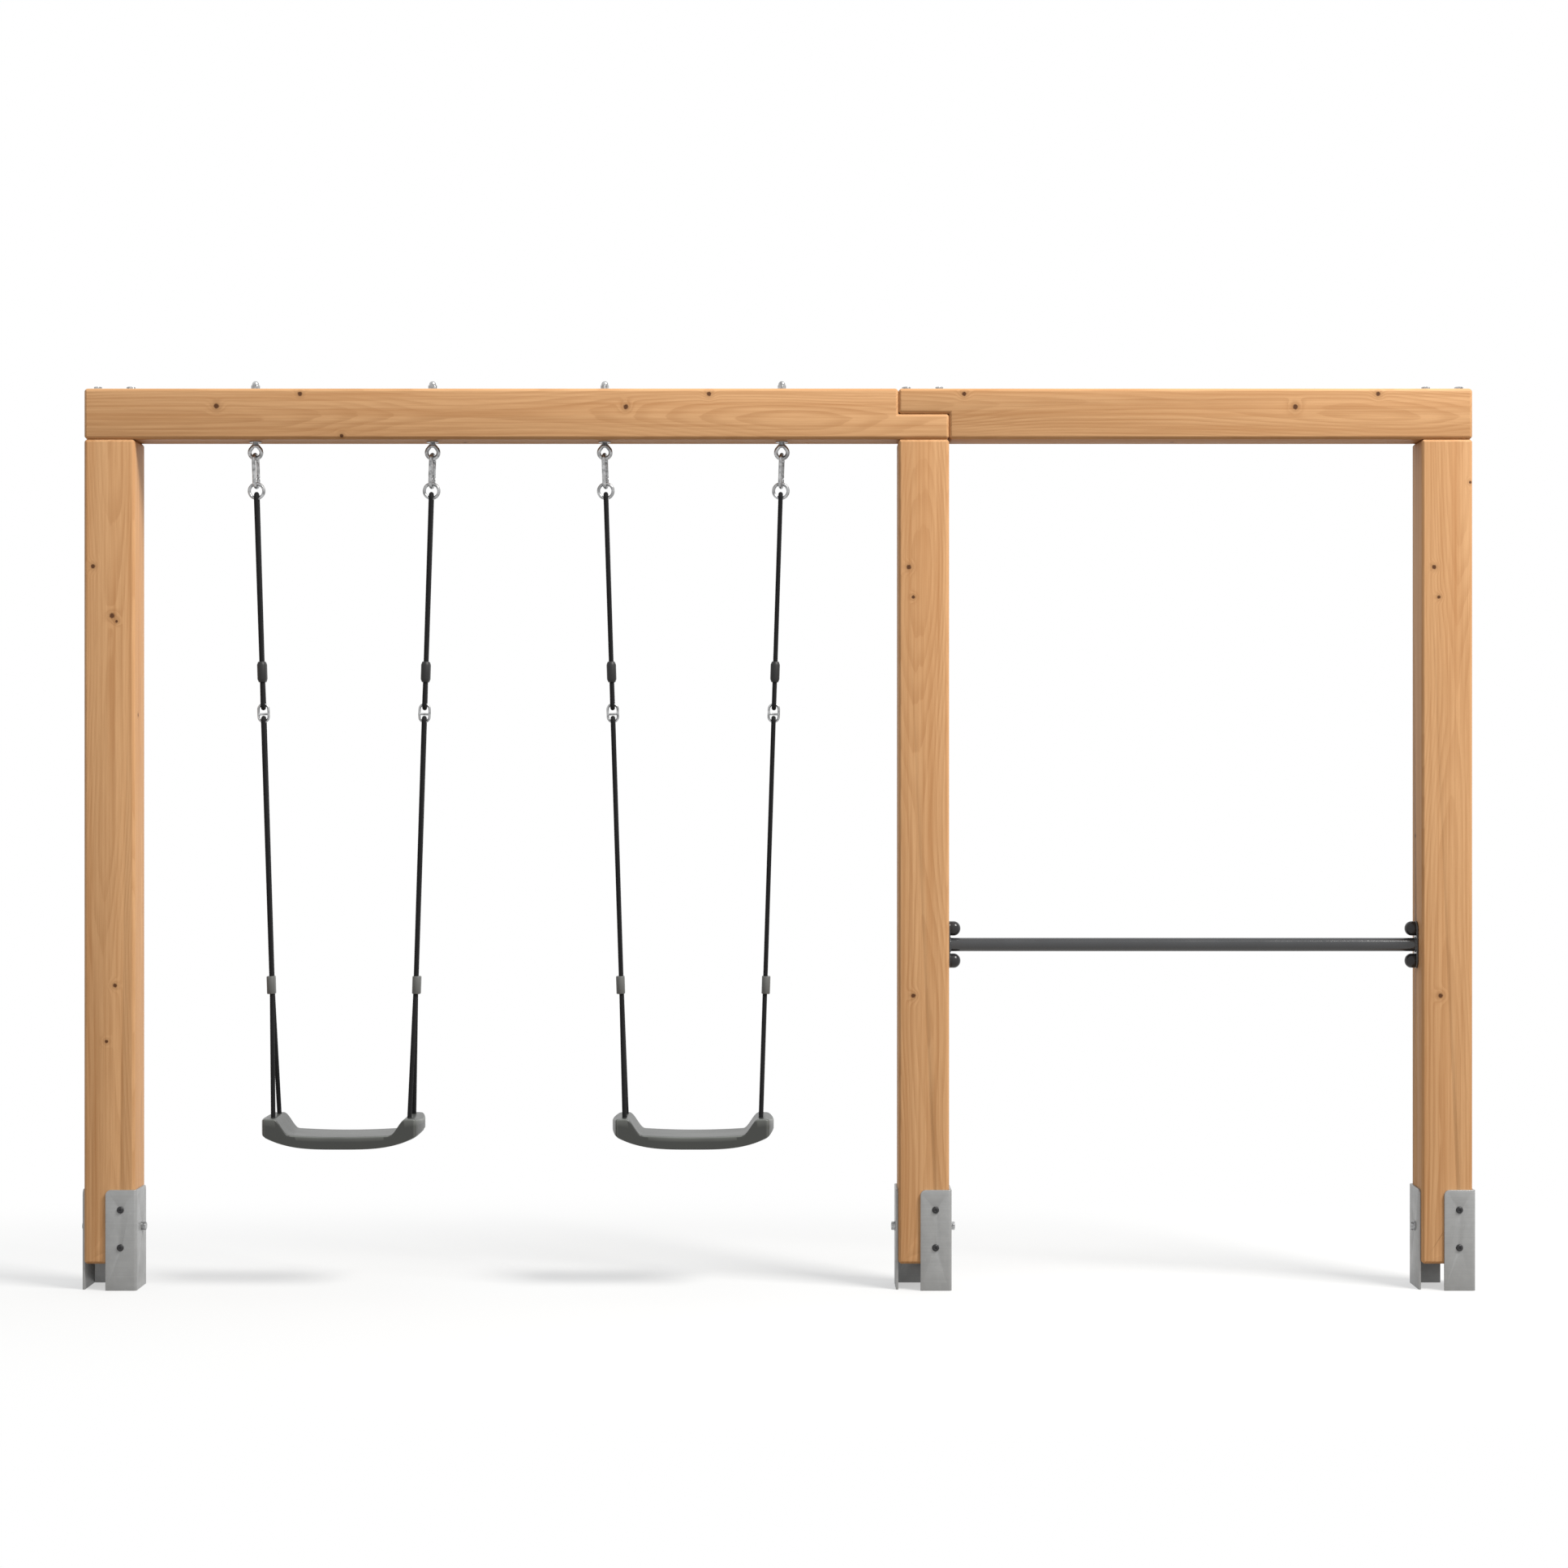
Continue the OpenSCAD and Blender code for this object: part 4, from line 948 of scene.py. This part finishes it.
def bar_cap(name):
    """A domed plastic cap with a rounded rim and a fine line round its foot."""
    r = 18.0 * MM
    rows = [(0.0, r - 0.8 * MM), (0.2 * MM, r - 0.2 * MM), (0.9 * MM, r), (3.6 * MM, r),
            (3.9 * MM, r - 0.35 * MM), (4.3 * MM, r - 0.35 * MM), (4.6 * MM, r),
            (9.0 * MM, r)]
    rows += dome(r, 9.0 * MM, 26.0 * MM, top=0.4 * MM, steps=14)[1:]
    return spun(name, rows, 72)


EYE_Z = JOINTS[f"{HANGERS[0]}_hook_hang"]["pos_m"][2]


def eye_bolt(name):
    """A wire eye that closes into a neck and a shank, with its lowest wire at the origin."""
    r, wire = 14.5 * MM, 5.0 * MM
    peak = r * 1.54
    open_half = math.acos(1 / 1.54)
    start = math.pi / 2 - open_half
    sweep = 2 * math.pi - 2 * open_half
    foot_x = 3.6 * MM
    foot_z = peak - foot_x * math.tan(open_half)
    path = [(foot_x, 0.0, r + foot_z)]
    for i in range(41):
        a = start - sweep * i / 40
        path.append((r * math.cos(a), 0.0, r + r * math.sin(a)))
    path.append((-foot_x, 0.0, r + foot_z))
    loop = swept(name + "_loop", path, wire, 24)
    low, top = r + peak - 10 * MM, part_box("swing_beam")[0].z - EYE_WASHER_T - EYE_Z
    rows = [(low, 8.6 * MM), (low + 1 * MM, 9.6 * MM), (low + 3.5 * MM, 9.9 * MM),
            (low + 6.5 * MM, 8.4 * MM), (low + 9.5 * MM, 6.9 * MM), (low + 11.0 * MM, 6.1 * MM),
            (top, 6.0 * MM)]
    return joined(name, [loop, spun(name + "_neck", rows, 40)])


# ---- operators ----

class SWING_SET_OT_timber(bpy.types.Operator):
    """Sawn posts and beams with softly rounded edges"""
    bl_idname = "swing_set.timber"
    bl_label = "Timber"

    def execute(self, context):
        props = context.scene.swing_set.timber
        for node in POSTS + BEAMS:
            wood = softened(node, f"{node}_wood", props.edge)
            dress(wood, "timber", "frame", node, timber_material(node, props))
        return {"FINISHED"}


class SWING_SET_OT_anchors(bpy.types.Operator):
    """Galvanised angles that hold the posts off the ground"""
    bl_idname = "swing_set.anchors"
    bl_label = "Ground anchors"

    def execute(self, context):
        for node in ANCHORS:
            angle = softened(node, f"{node}_angle", 0.7 * MM)
            dress(angle, "galvanised_steel", "frame", node)
        return {"FINISHED"}


class SWING_SET_OT_anchor_fasteners(bpy.types.Operator):
    """Bolts through the posts' feet, their nuts, and the dark screws of the flanges"""
    bl_idname = "swing_set.anchor_fasteners"
    bl_label = "Anchor fasteners"

    def execute(self, context):
        heads, nuts, screws = [], [], []
        bolt_z = middle("anchor_through_bolts").z
        for post in ("left", "middle", "right"):
            low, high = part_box(f"{post}_front_anchor")
            back_low, back_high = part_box(f"{post}_rear_anchor")
            heads.append(((high.x, 0.0, bolt_z), (0, 90, 0)))
            nuts.append(((back_low.x, 0.0, bolt_z), (0, -90, 0)))
            for z in FLANGE_SCREW_Z:
                screws.append(((high.x - FLANGE_SCREW_INSET, low.y, z), (90, 0, 0)))
                screws.append(((back_low.x + FLANGE_SCREW_INSET, back_high.y, z), (90, 0, 180)))
        fit("anchor_bolt_heads", anchor_bolt_head("bolt_head_form"), heads, "zinc_steel",
            "anchor_through_bolts")
        fit("anchor_nuts", anchor_nut("nut_form"), nuts, "zinc_steel", "anchor_bolt_nuts")
        fit("anchor_screws", socket_screw("screw_form"), screws, "dark_screw",
            "anchor_flange_screws")
        return {"FINISHED"}


class SWING_SET_OT_beam_fasteners(bpy.types.Operator):
    """Coach screws that hold the beams on the posts, with their washers"""
    bl_idname = "swing_set.beam_fasteners"
    bl_label = "Beam fasteners"

    def execute(self, context):
        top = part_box("swing_beam")[1].z
        places = []
        for i, post in enumerate(POSTS):
            for side in (-1, 1):
                turn = (0, 0, 17 * side + 11 * i)
                places.append(((middle(post).x + side * COACH_SCREW_X, 0.0, top), turn))
        fit("coach_screw_heads", coach_head("coach_form"), places, "zinc_steel",
            "beam_coach_screws")
        form = washer("coach_washer_form", 15.0 * MM, HOLE_R, WASHER_T)
        fit("coach_screw_washers", form, places, "zinc_steel", "beam_screw_washers")
        return {"FINISHED"}


class SWING_SET_OT_eyes(bpy.types.Operator):
    """Eye bolts under the beam, their washers and the domed nuts on top"""
    bl_idname = "swing_set.eyes"
    bl_label = "Eye bolts"

    def execute(self, context):
        low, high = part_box("swing_beam")
        eyes = [HANGER[name].eye for name in HANGERS]
        places = [(tuple(eye), (0, 0, 0)) for eye in eyes]
        fit("eye_bolts", eye_bolt("eye_form"), places, "zinc_steel", "swing_eye_bolts")
        plates = [((eye.x, 0.0, z), (0, 0, 0))
                  for eye in eyes for z in (low.z - EYE_WASHER_T, high.z)]
        form = washer("eye_washer_form", 15.0 * MM, HOLE_R, EYE_WASHER_T)
        fit("eye_washers", form, plates, "zinc_steel", "eye_bolt_washers")
        nuts = [((eye.x, 0.0, high.z + EYE_WASHER_T), (0, 0, 13 * i))
                for i, eye in enumerate(eyes)]
        fit("eye_cap_nuts", cap_nut("cap_nut_form"), nuts, "zinc_steel", "eye_bolt_cap_nuts")
        return {"FINISHED"}


def weld(name, centre, radius, side):
    """A fillet weld round a bar where it meets a plate, with the ripples of its run."""
    around, across = 180, 10
    leg = 2.2 * MM
    points = []
    for i in range(around):
        turn = 2 * math.pi * i / around
        swell = 1.0 + 0.07 * math.sin(turn * 26) + 0.05 * math.sin(turn * 5 + 1.0)
        for k in range(across):
            tilt = 2 * math.pi * k / across
            r = radius + leg * swell * math.cos(tilt)
            x = side * (0.4 * MM + leg * swell * math.sin(tilt))
            points.append((centre.x + x, centre.y + r * math.cos(turn),
                           centre.z + r * math.sin(turn)))
    return new_object(name, points, tube_faces(around, across, True))


class SWING_SET_OT_bar(bpy.types.Operator):
    """Painted tumbling bar, welded to its end plates, with capped screws"""
    bl_idname = "swing_set.bar"
    bl_label = "Tumbling bar"

    def execute(self, context):
        low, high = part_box("tumbling_bar")
        axis = middle("tumbling_bar")
        radius = (high.z - low.z) / 2
        steps = 24
        path = [(low.x + (high.x - low.x) * i / steps, axis.y, axis.z) for i in range(steps + 1)]
        tube = swept("bar_tube", path, radius, 72)
        beads = [weld("bar_weld_left", Vector((low.x, axis.y, axis.z)), radius, 1),
                 weld("bar_weld_right", Vector((high.x, axis.y, axis.z)), radius, -1)]
        tube = dress(joined("bar_tube", [tube] + beads), "bar_paint", "frame", "tumbling_bar")
        for node in ("bar_left_flange", "bar_right_flange"):
            plate = softened(node, f"{node}_plate", 0.8 * MM)
            dress(plate, "bar_paint", "frame", node)
        keep("bar_flange_screws", "zinc_steel")
        places = []
        for side in (-1, 1):
            z = axis.z + side * BAR_SCREW_Z
            places.append(((low.x, axis.y, z), (0, 90, 0)))
            places.append(((high.x, axis.y, z), (0, -90, 0)))
        fit("bar_caps", bar_cap("cap_form"), places, "cap_plastic", "bar_screw_caps")
        return {"FINISHED"}


class SWING_SET_OT_hooks(bpy.types.Operator):
    """Spring hooks, their gates, the rings in them and the double links"""
    bl_idname = "swing_set.hooks"
    bl_label = "Hooks, rings and links"

    def execute(self, context):
        for hanger in HANGERS:
            swing = swing_of(hanger)
            for piece, body, width in (
                    ("hook", f"{hanger}_hook", 0.25), ("gate", f"{hanger}_gate", 0.2),
                    ("ring", swing, 0.0), ("link", swing, 0.0)):
                node = f"{hanger}_{piece}"
                made = softened(node, f"{node}_steel", width * MM)
                dress(made, "zinc_steel", body, node)
        return {"FINISHED"}


def upper_rope_path(line):
    """Points of the endless upper rope, which starts and ends inside its sleeve."""
    over = RING_WIRE_R + ROPE_R + ROPE_PLAY
    under = LINK_WIRE_R + ROPE_R + ROPE_PLAY
    path = [line.at(line.sleeve, -STRAND_Y), line.at(line.sleeve - SLEEVE_HALF, -STRAND_Y)]
    path += line.arc(line.ring_bottom, over, 180, 0)
    path += [line.at(line.sleeve - SLEEVE_HALF, STRAND_Y),
             line.at(line.sleeve + SLEEVE_HALF, STRAND_Y)]
    path += line.arc(line.link_top, under, 0, -180)
    path += [line.at(line.sleeve + SLEEVE_HALF, -STRAND_Y)]
    return path


def lower_rope_path(hanger):
    """Points of a lower rope: up one leg, over the double link, and down the other leg."""
    line = HANGER[hanger]
    over = LINK_WIRE_R + ROPE_R + ROPE_PLAY
    ends = [leg_line(hanger, side) for side in ROPE_LEGS]
    tail = KNOT_TOP + 30 * MM
    path = [ends[0][1] + ends[0][2] * tail, ends[0][0], line.at(line.clip - CLIP_HALF, -STRAND_Y)]
    path += line.arc(line.link_bottom, over, 180, 0)
    path += [line.at(line.clip - CLIP_HALF, STRAND_Y), ends[1][0], ends[1][1] + ends[1][2] * tail]
    return path


def stopper_knot(name, foot, direction, hand):
    """The turns of a stopper knot round the rope, just below the lug."""
    across = direction.cross(Vector((1.0, 0.0, 0.0))).normalized()
    aside = direction.cross(across)
    total = 2 * math.pi * KNOT_TURNS + math.radians(70)
    path = []
    steps = 60
    for i in range(steps + 1):
        share = i / steps
        turn = hand * total * share
        out = KNOT_REACH * min(1.0, 0.15 + 5 * share, 0.15 + 5 * (1 - share))
        down = KNOT_TOP + KNOT_ROPE * (0.55 + KNOT_TURNS * share)
        round_rope = across * math.cos(turn) + aside * math.sin(turn)
        path.append(foot + direction * down + out * round_rope)
    return braided(name, path, False, KNOT_ROPE)


class SWING_SET_OT_ropes(bpy.types.Operator):
    """Braided ropes, with stopper knots under the seats"""
    bl_idname = "swing_set.ropes"
    bl_label = "Ropes"

    def execute(self, context):
        for hanger in HANGERS:
            body = swing_of(hanger)
            upper = braided(f"{hanger}_upper_braid", upper_rope_path(HANGER[hanger]), True)
            dress(upper, "rope", body, f"{hanger}_upper_rope")
            parts = [braided(f"{hanger}_lower_braid", lower_rope_path(hanger), False)]
            for side in ROPE_LEGS:
                start, foot, direction = leg_line(hanger, side)
                parts.append(stopper_knot(f"{hanger}_knot", foot, direction, side))
            lower = joined(f"{hanger}_lower_braid", parts)
            dress(lower, "rope", body, f"{hanger}_lower_rope")
        return {"FINISHED"}


def oblong_loft(name, rows, half, segments=14):
    """A solid of oblong sections, long in Y: each row is (height, end radius, shift in X)."""
    points = []
    count = 4 * segments
    for height, radius, shift in rows:
        for k in range(count):
            turn = 2 * math.pi * (k + 0.5) / count
            y = radius * math.sin(turn) + math.copysign(half, math.sin(turn))
            points.append((radius * math.cos(turn) + shift, y, height))
    return new_object(name, points, tube_faces(len(rows), count, False))


class SWING_SET_OT_grips(bpy.types.Operator):
    """Moulded sleeves on the upper ropes and clips on the lower ropes"""
    bl_idname = "swing_set.grips"
    bl_label = "Sleeves and clips"

    def execute(self, context):
        for hanger in HANGERS:
            line, body = HANGER[hanger], swing_of(hanger)
            up = -line.down
            r = 11.5 * MM
            h = SLEEVE_HALF
            rows = [(-h, r - 3.6 * MM, 0.0), (-h + 0.4 * MM, r - 2.9 * MM, 0.0),
                    (-h + 1.2 * MM, r - 2.4 * MM, 0.0), (-h + 6.4 * MM, r - 0.5 * MM, 0.0),
                    (-h + 8.0 * MM, r, 0.0)]
            rows += [(-z, radius, shift) for z, radius, shift in reversed(rows)]
            sleeve = oblong_loft(f"{hanger}_sleeve_moulding", rows, STRAND_Y)
            upright_to(sleeve, line.at(line.sleeve), up)
            dress(sleeve, "sleeve_plastic", body, f"{hanger}_sleeve")
            r, h, aside = 10.5 * MM, CLIP_HALF, line.side * 2.0 * MM
            rows = [(-h, r - 1.6 * MM, aside), (-h + 0.5 * MM, r - 0.6 * MM, aside),
                    (-h + 1.6 * MM, r, aside), (h - 1.6 * MM, r, aside),
                    (h - 0.5 * MM, r - 0.6 * MM, aside), (h, r - 1.6 * MM, aside)]
            clip = oblong_loft(f"{hanger}_clip_moulding", rows, STRAND_Y)
            upright_to(clip, line.at(line.clip), up)
            dress(clip, "clip_plastic", body, f"{hanger}_clip")
        return {"FINISHED"}


class SeatForm:
    """Outline and heights of one seat, from its node's box."""

    bulge = 12 * MM      # how much the ends stand out at mid-depth
    corner = 7 * MM
    sag = 5.5 * MM       # rise of the sitting surface from its middle to its ends
    end_rise = 34 * MM   # rise of the underside
    height = 31 * MM     # from the lower rim to the sitting surface
    dish_end = 145 * MM  # from the middle, where the sag is full
    lug_start = 123.5 * MM
    lug_run = 39.5 * MM
    rim_end = 192 * MM
    tip = 24 * MM        # length of the rounding of the lugs' tops
    rim_tip = 16 * MM

    def __init__(self, node):
        low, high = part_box(node)
        self.centre = (low.x + high.x) / 2
        self.half, self.deep = (high.x - low.x) / 2, (high.y - low.y) / 2
        self.low, self.lug = low.z, high.z
        self.seat = low.z + self.height

    def top(self, x):
        """Height of the upper face: a shallow dish that sweeps up into the end lugs."""
        a = abs(x)
        dish = self.seat + self.sag * (a / self.dish_end) ** 2
        rise = min(1.0, max(0.0, (a - self.lug_start) / self.lug_run))
        rise = rise * rise * (3 - 2 * rise)
        beyond = max(0.0, a - (self.half - self.tip)) / self.tip
        return dish + (self.lug - dish) * rise - 6.5 * MM * beyond ** 2.2

    def rim(self, x):
        """Height of the lower rim, which curves up towards the ends."""
        a = abs(x)
        beyond = max(0.0, a - (self.half - self.rim_tip)) / self.rim_tip
        return self.low + self.end_rise * (a / self.rim_end) ** 3.4 + 5 * MM * beyond ** 2

    def lines(self, half, edge, count):
        """Grid lines from -half to half, closer together over the rounded edges."""
        near = [edge * (1 - math.cos(math.pi / 2 * i / 6)) for i in range(7)]
        inner = [-(half - edge) + 2 * (half - edge) * i / count for i in range(count + 1)]
        return [d - half for d in near[:-1]] + inner + [half - d for d in reversed(near[:-1])]

    def plan(self, x, y, inset):
        """Turns a point of the square grid into one inside the seat's outline."""
        half, deep = self.half - inset, self.deep - inset
        corner = self.corner - inset / 2
        dx, dy = abs(x) - (half - corner), abs(y) - (deep - corner)
        if dx > 0 and dy > 0:
            squeeze = max(dx, dy) / math.hypot(dx, dy)
            x = math.copysign(half - corner + dx * squeeze, x)
            y = math.copysign(deep - corner + dy * squeeze, y)
        return x * (1 - self.bulge / half * (y / deep) ** 2), y

    def skin(self, inset, edge):
        """Upper face of a shell: its points row by row, and its outline's point numbers."""
        half, deep = self.half - inset, self.deep - inset
        xs, ys = self.lines(half, edge, 110), self.lines(deep, edge, 36)
        points = []
        for gy in ys:
            for gx in xs:
                e = min(half - abs(gx), deep - abs(gy), edge)
                drop = edge - math.sqrt(max(0.0, edge ** 2 - (edge - e) ** 2))
                x, y = self.plan(gx, gy, inset)
                points.append((x, y, self.top(x) - inset - drop))
        nx, ny = len(xs), len(ys)
        border = list(range(nx)) + [r * nx + nx - 1 for r in range(1, ny)]
        border += [(ny - 1) * nx + c for c in range(nx - 2, -1, -1)]
        border += [r * nx for r in range(ny - 2, 0, -1)]
        return points, nx, ny, border

    def shell(self, name, edge, wall):
        """The whole moulding: upper skin, walls, lower rim and the hollow underneath."""
        points, faces, rings = [], [], []
        for inset, e in ((0.0, edge), (wall, 0.6 * edge)):
            skin, nx, ny, border = self.skin(inset, e)
            base = len(points)
            points += skin
            for r in range(ny - 1):
                for c in range(nx - 1):
                    a = base + r * nx + c
                    faces.append((a, a + 1, a + nx + 1, a + nx))
            ring = [base + i for i in border]
            for share in (0.33, 0.66, 0.97, 1.0):
                start = len(points)
                for i in border:
                    x, y, z = skin[i]
                    rim = self.rim(x)
                    pull = 1.0
                    if share == 1.0:  # the rim's own rounding, towards the wall's middle
                        pull = 1 - 0.9 * MM / self.deep * (1 if inset == 0 else -1)
                    foot = rim + (1.1 * MM if share == 0.97 else 0.0)
                    height = foot if share > 0.9 else z + (rim - z) * share
                    points.append((x * pull, y * pull, height))
                fresh = [start + k for k in range(len(border))]
                rings.append((ring, fresh))
                ring = fresh
            if inset == 0:
                outer_rim = ring
        rings.append((outer_rim, ring))
        for one, other in rings:
            for k in range(len(one)):
                m = (k + 1) % len(one)
                faces.append((one[k], one[m], other[m], other[k]))
        points = [(x + self.centre, y, z) for x, y, z in points]
        return new_object(name, points, faces)

    def mark_edges(self, made, edge):
        """Stores a painted highlight along the rounded upper edges and at the lower corners, as a
        point attribute.
        """
        marks = made.data.attributes.new("rubbed", "FLOAT", "POINT")
        for i, vert in enumerate(made.data.vertices):
            x, y, z = vert.co.x - self.centre, vert.co.y, vert.co.z
            x /= 1 - self.bulge / self.half * (y / self.deep) ** 2
            inward = min(self.half - abs(x), self.deep - abs(y))
            upper = z > self.top(x) - 1.1 * edge
            # Painted highlight: a band along the rounded upper edge, and a weaker one at the lower
            # corners
            line = max(0.0, 1 - abs(inward / edge - 0.25) / 0.55)
            if not upper:
                corner = max(self.half - abs(x), self.deep - abs(y))
                line = 0.7 * max(0.0, 1 - corner / self.corner) if inward < 1.5 * MM else 0.0
            marks.data[i].value = line

    def rib(self, name, across, at, wall):
        """A stiffening web: across the seat at an x, or along it at a y."""
        half_t = 2 * MM
        if across:
            reach = self.deep - wall + 2 * MM
            stations = [(at, -reach), (at, reach)]
        else:
            reach = self.half - wall - 4 * MM
            stations = [(-reach + 2 * reach * i / 60, at) for i in range(61)]
        points, faces = [], []
        for x, y in stations:
            top = self.top(x) - wall / 2
            low = min(self.rim(x) + 4 * MM, top - 1 * MM)
            for side in (-1, 1):
                px = x + side * half_t if across else x
                py = y if across else y + side * half_t
                points += [(px + self.centre, py, low), (px + self.centre, py, top)]
        for i in range(len(stations) - 1):
            a, b = 4 * i, 4 * (i + 1)
            faces += [(a, a + 1, b + 1, b), (a + 2, b + 2, b + 3, a + 3),
                      (a + 1, a + 3, b + 3, b + 1), (a, b, b + 2, a + 2)]
        last = len(points) - 4
        faces += [(0, 2, 3, 1), (last, last + 1, last + 3, last + 2)]
        return new_object(name, points, faces)


BOSS = in_mm((6, 11.6), (20.2, 11.6), (21, 10.8), (21, 7.2), (20.4, 6.6), (6, 6.6))
RIBS = ((True, (-120, -60, 0, 60, 120)), (False, (-25, 25)))  # across the seat, and along


def cut(made, tools):
    """Cuts shapes out of a piece."""
    for tool in tools:
        knife = made.modifiers.new("cut", "BOOLEAN")
        knife.operation = "DIFFERENCE"
        knife.solver = "EXACT"
        knife.object = tool
    baked(made)
    for tool in tools:
        bpy.data.objects.remove(tool)
    shade(made, 38)
    return made


class SWING_SET_OT_seats(bpy.types.Operator):
    """Hollow moulded seats with lugs, rope holes and ribs underneath"""
    bl_idname = "swing_set.seats"
    bl_label = "Seats"

    def execute(self, context):
        props = context.scene.swing_set.plastic
        for swing in SWINGS:
            node = f"{swing}_seat"
            form = SeatForm(node)
            shell = form.shell(f"{node}_moulding", props.seat_edge, props.seat_wall)
            parts, drills = [], []
            for hanger in (f"{swing}_swing_left", f"{swing}_swing_right"):
                for side in ROPE_LEGS:
                    _, foot, direction = leg_line(hanger, side)
                    drill = spun("drill", in_mm((-20, 6.6), (40, 6.6)), 40)
                    drills.append(upright_to(drill, foot, direction))
                    parts.append(upright_to(spun("boss", BOSS, 40, ring=True), foot, direction))
            cut(shell, drills)
            for across, places in RIBS:
                parts += [form.rib("rib", across, at * MM, props.seat_wall) for at in places]
            seat = joined(f"{node}_moulding", [shell] + parts)
            form.mark_edges(seat, props.seat_edge)
            dress(seat, "seat_plastic", f"{swing}_swing", node)
        return {"FINISHED"}


# ---- stage ----

FLOOR_HALF = 60.0
KEY_PLACE, KEY_TARGET = (6.2, -4.3, 10.3), (0.0, 0.0, 1.0)
KEY_SIZE, KEY_POWER, KEY_TINT = 4.0, 1750.0, (1.0, 0.985, 0.96)


def shown_rays(tree):
    """1 for the rays that show a surface, and 0 for those that light the set."""
    path = tree.add("ShaderNodeLightPath")
    seen = tree.math("MAXIMUM", path.outputs["Is Camera Ray"], path.outputs["Is Glossy Ray"])
    return tree.math("MAXIMUM", seen, path.outputs["Is Transmission Ray"])


def floor_material(props):
    """White floor that keeps the shadows near the set and fades into the background.

    To the rays that light the set it is darker and warmer, so that undersides stay in shade.
    """
    made = bpy.data.materials.new("floor")
    made.use_nodes = True
    made.node_tree.nodes.clear()
    tree = Tree(made.node_tree)
    where = tree.add("ShaderNodeTexCoord").outputs["Object"]
    lit = tree.add("ShaderNodeBsdfDiffuse", None, color=rgba(props.floor))
    below = tree.add("ShaderNodeBsdfDiffuse", None, color=rgba(props.bounce))
    glow = tree.add("ShaderNodeEmission", None, color=(1.0, 1.0, 1.0, 1.0), strength=1.0)
    flat = tree.vector("MULTIPLY", where, (0.42, 1.0, 0.0))
    fade = tree.remap(tree.vector("LENGTH", flat), 0.4, 1.9, 0.50, 1.0, smooth=True)
    seen = shown_rays(tree)
    shown = tree.add("ShaderNodeMixShader", None, in0=fade, in1=lit, in2=glow)
    both = tree.add("ShaderNodeMixShader", None, in0=seen, in1=below, in2=shown)
    out = tree.add("ShaderNodeOutputMaterial")
    tree.put(out.inputs["Surface"], both)
    return made


def studio_world():
    """White surroundings, which light the set softly and show white behind it."""
    world = bpy.data.worlds.new("studio")
    world.use_nodes = True
    world.node_tree.nodes.clear()
    tree = Tree(world.node_tree)
    seen = shown_rays(tree)
    sky = tree.add("ShaderNodeBackground", None, color=(0.96, 0.98, 1.0, 1.0), strength=0.68)
    white = tree.add("ShaderNodeBackground", None, color=(1.0, 1.0, 1.0, 1.0), strength=1.0)
    both = tree.add("ShaderNodeMixShader", None, in0=seen, in1=sky, in2=white)
    out = tree.add("ShaderNodeOutputWorld")
    tree.put(out.inputs["Surface"], both)
    return world


def softbox(name, place, target, size, power, tint):
    """A square area lamp aimed at a point."""
    data = bpy.data.lights.new(name, "AREA")
    data.size = size
    data.energy = power
    data.color = tint
    made = linked(name, data)
    made.location = place
    aim = Vector(target) - Vector(place)
    made.rotation_euler = aim.to_track_quat("-Z", "Y").to_euler()
    return made


class SWING_SET_OT_stage(bpy.types.Operator):
    """Floor, soft lights and camera"""
    bl_idname = "swing_set.stage"
    bl_label = "Stage"

    def execute(self, context):
        props = context.scene.swing_set.stage
        scene = context.scene
        r = FLOOR_HALF
        corners = [(-r, -r, 0), (r, -r, 0), (r, r, 0), (-r, r, 0)]
        floor = new_object("floor", corners, [(0, 1, 2, 3)])
        floor.data.materials.append(floor_material(props))
        scene.world = studio_world()
        softbox("key", KEY_PLACE, KEY_TARGET, KEY_SIZE, KEY_POWER, KEY_TINT)
        lens = bpy.data.cameras.new("camera")
        lens.lens = props.lens
        lens.sensor_width = 36.0
        lens.clip_end = 200.0
        camera = linked("camera", lens)
        camera.location = (props.offset, -props.distance, props.height)
        camera.rotation_euler = (math.radians(90), 0.0, 0.0)
        scene.camera = camera
        scene.view_settings.view_transform = "Standard"
        return {"FINISHED"}


OPERATORS = (
    SWING_SET_OT_stage, SWING_SET_OT_timber, SWING_SET_OT_anchors,
    SWING_SET_OT_anchor_fasteners, SWING_SET_OT_beam_fasteners, SWING_SET_OT_eyes,
    SWING_SET_OT_bar, SWING_SET_OT_hooks, SWING_SET_OT_ropes, SWING_SET_OT_grips,
    SWING_SET_OT_seats)


class SWING_SET_PT_panel(bpy.types.Panel):
    """Lists the settings and the pieces"""
    bl_idname = "SWING_SET_PT_panel"
    bl_label = "Swing Set"
    bl_space_type = "VIEW_3D"
    bl_region_type = "UI"
    bl_category = "Swing Set"

    def draw(self, context):
        for name, group in zip(GROUP_NAMES, GROUPS):
            box = self.layout.box()
            box.label(text=name.capitalize())
            for key in group.__annotations__:
                box.prop(getattr(context.scene.swing_set, name), key)
        for operator in OPERATORS:
            self.layout.operator(operator.bl_idname)


CLASSES = GROUPS + (SwingSetProps,) + OPERATORS + (SWING_SET_PT_panel,)


def register():
    for one in CLASSES:
        bpy.utils.register_class(one)
    bpy.types.Scene.swing_set = bpy.props.PointerProperty(
        type=SwingSetProps, name="Swing Set", description="Sizes and colours of the swing set")


def unregister():
    del bpy.types.Scene.swing_set
    for one in reversed(CLASSES):
        bpy.utils.unregister_class(one)


def main():
    register()
    for operator in OPERATORS:
        group, name = operator.bl_idname.split(".")
        getattr(getattr(bpy.ops, group), name)()


if __name__ == "__main__":
    main()
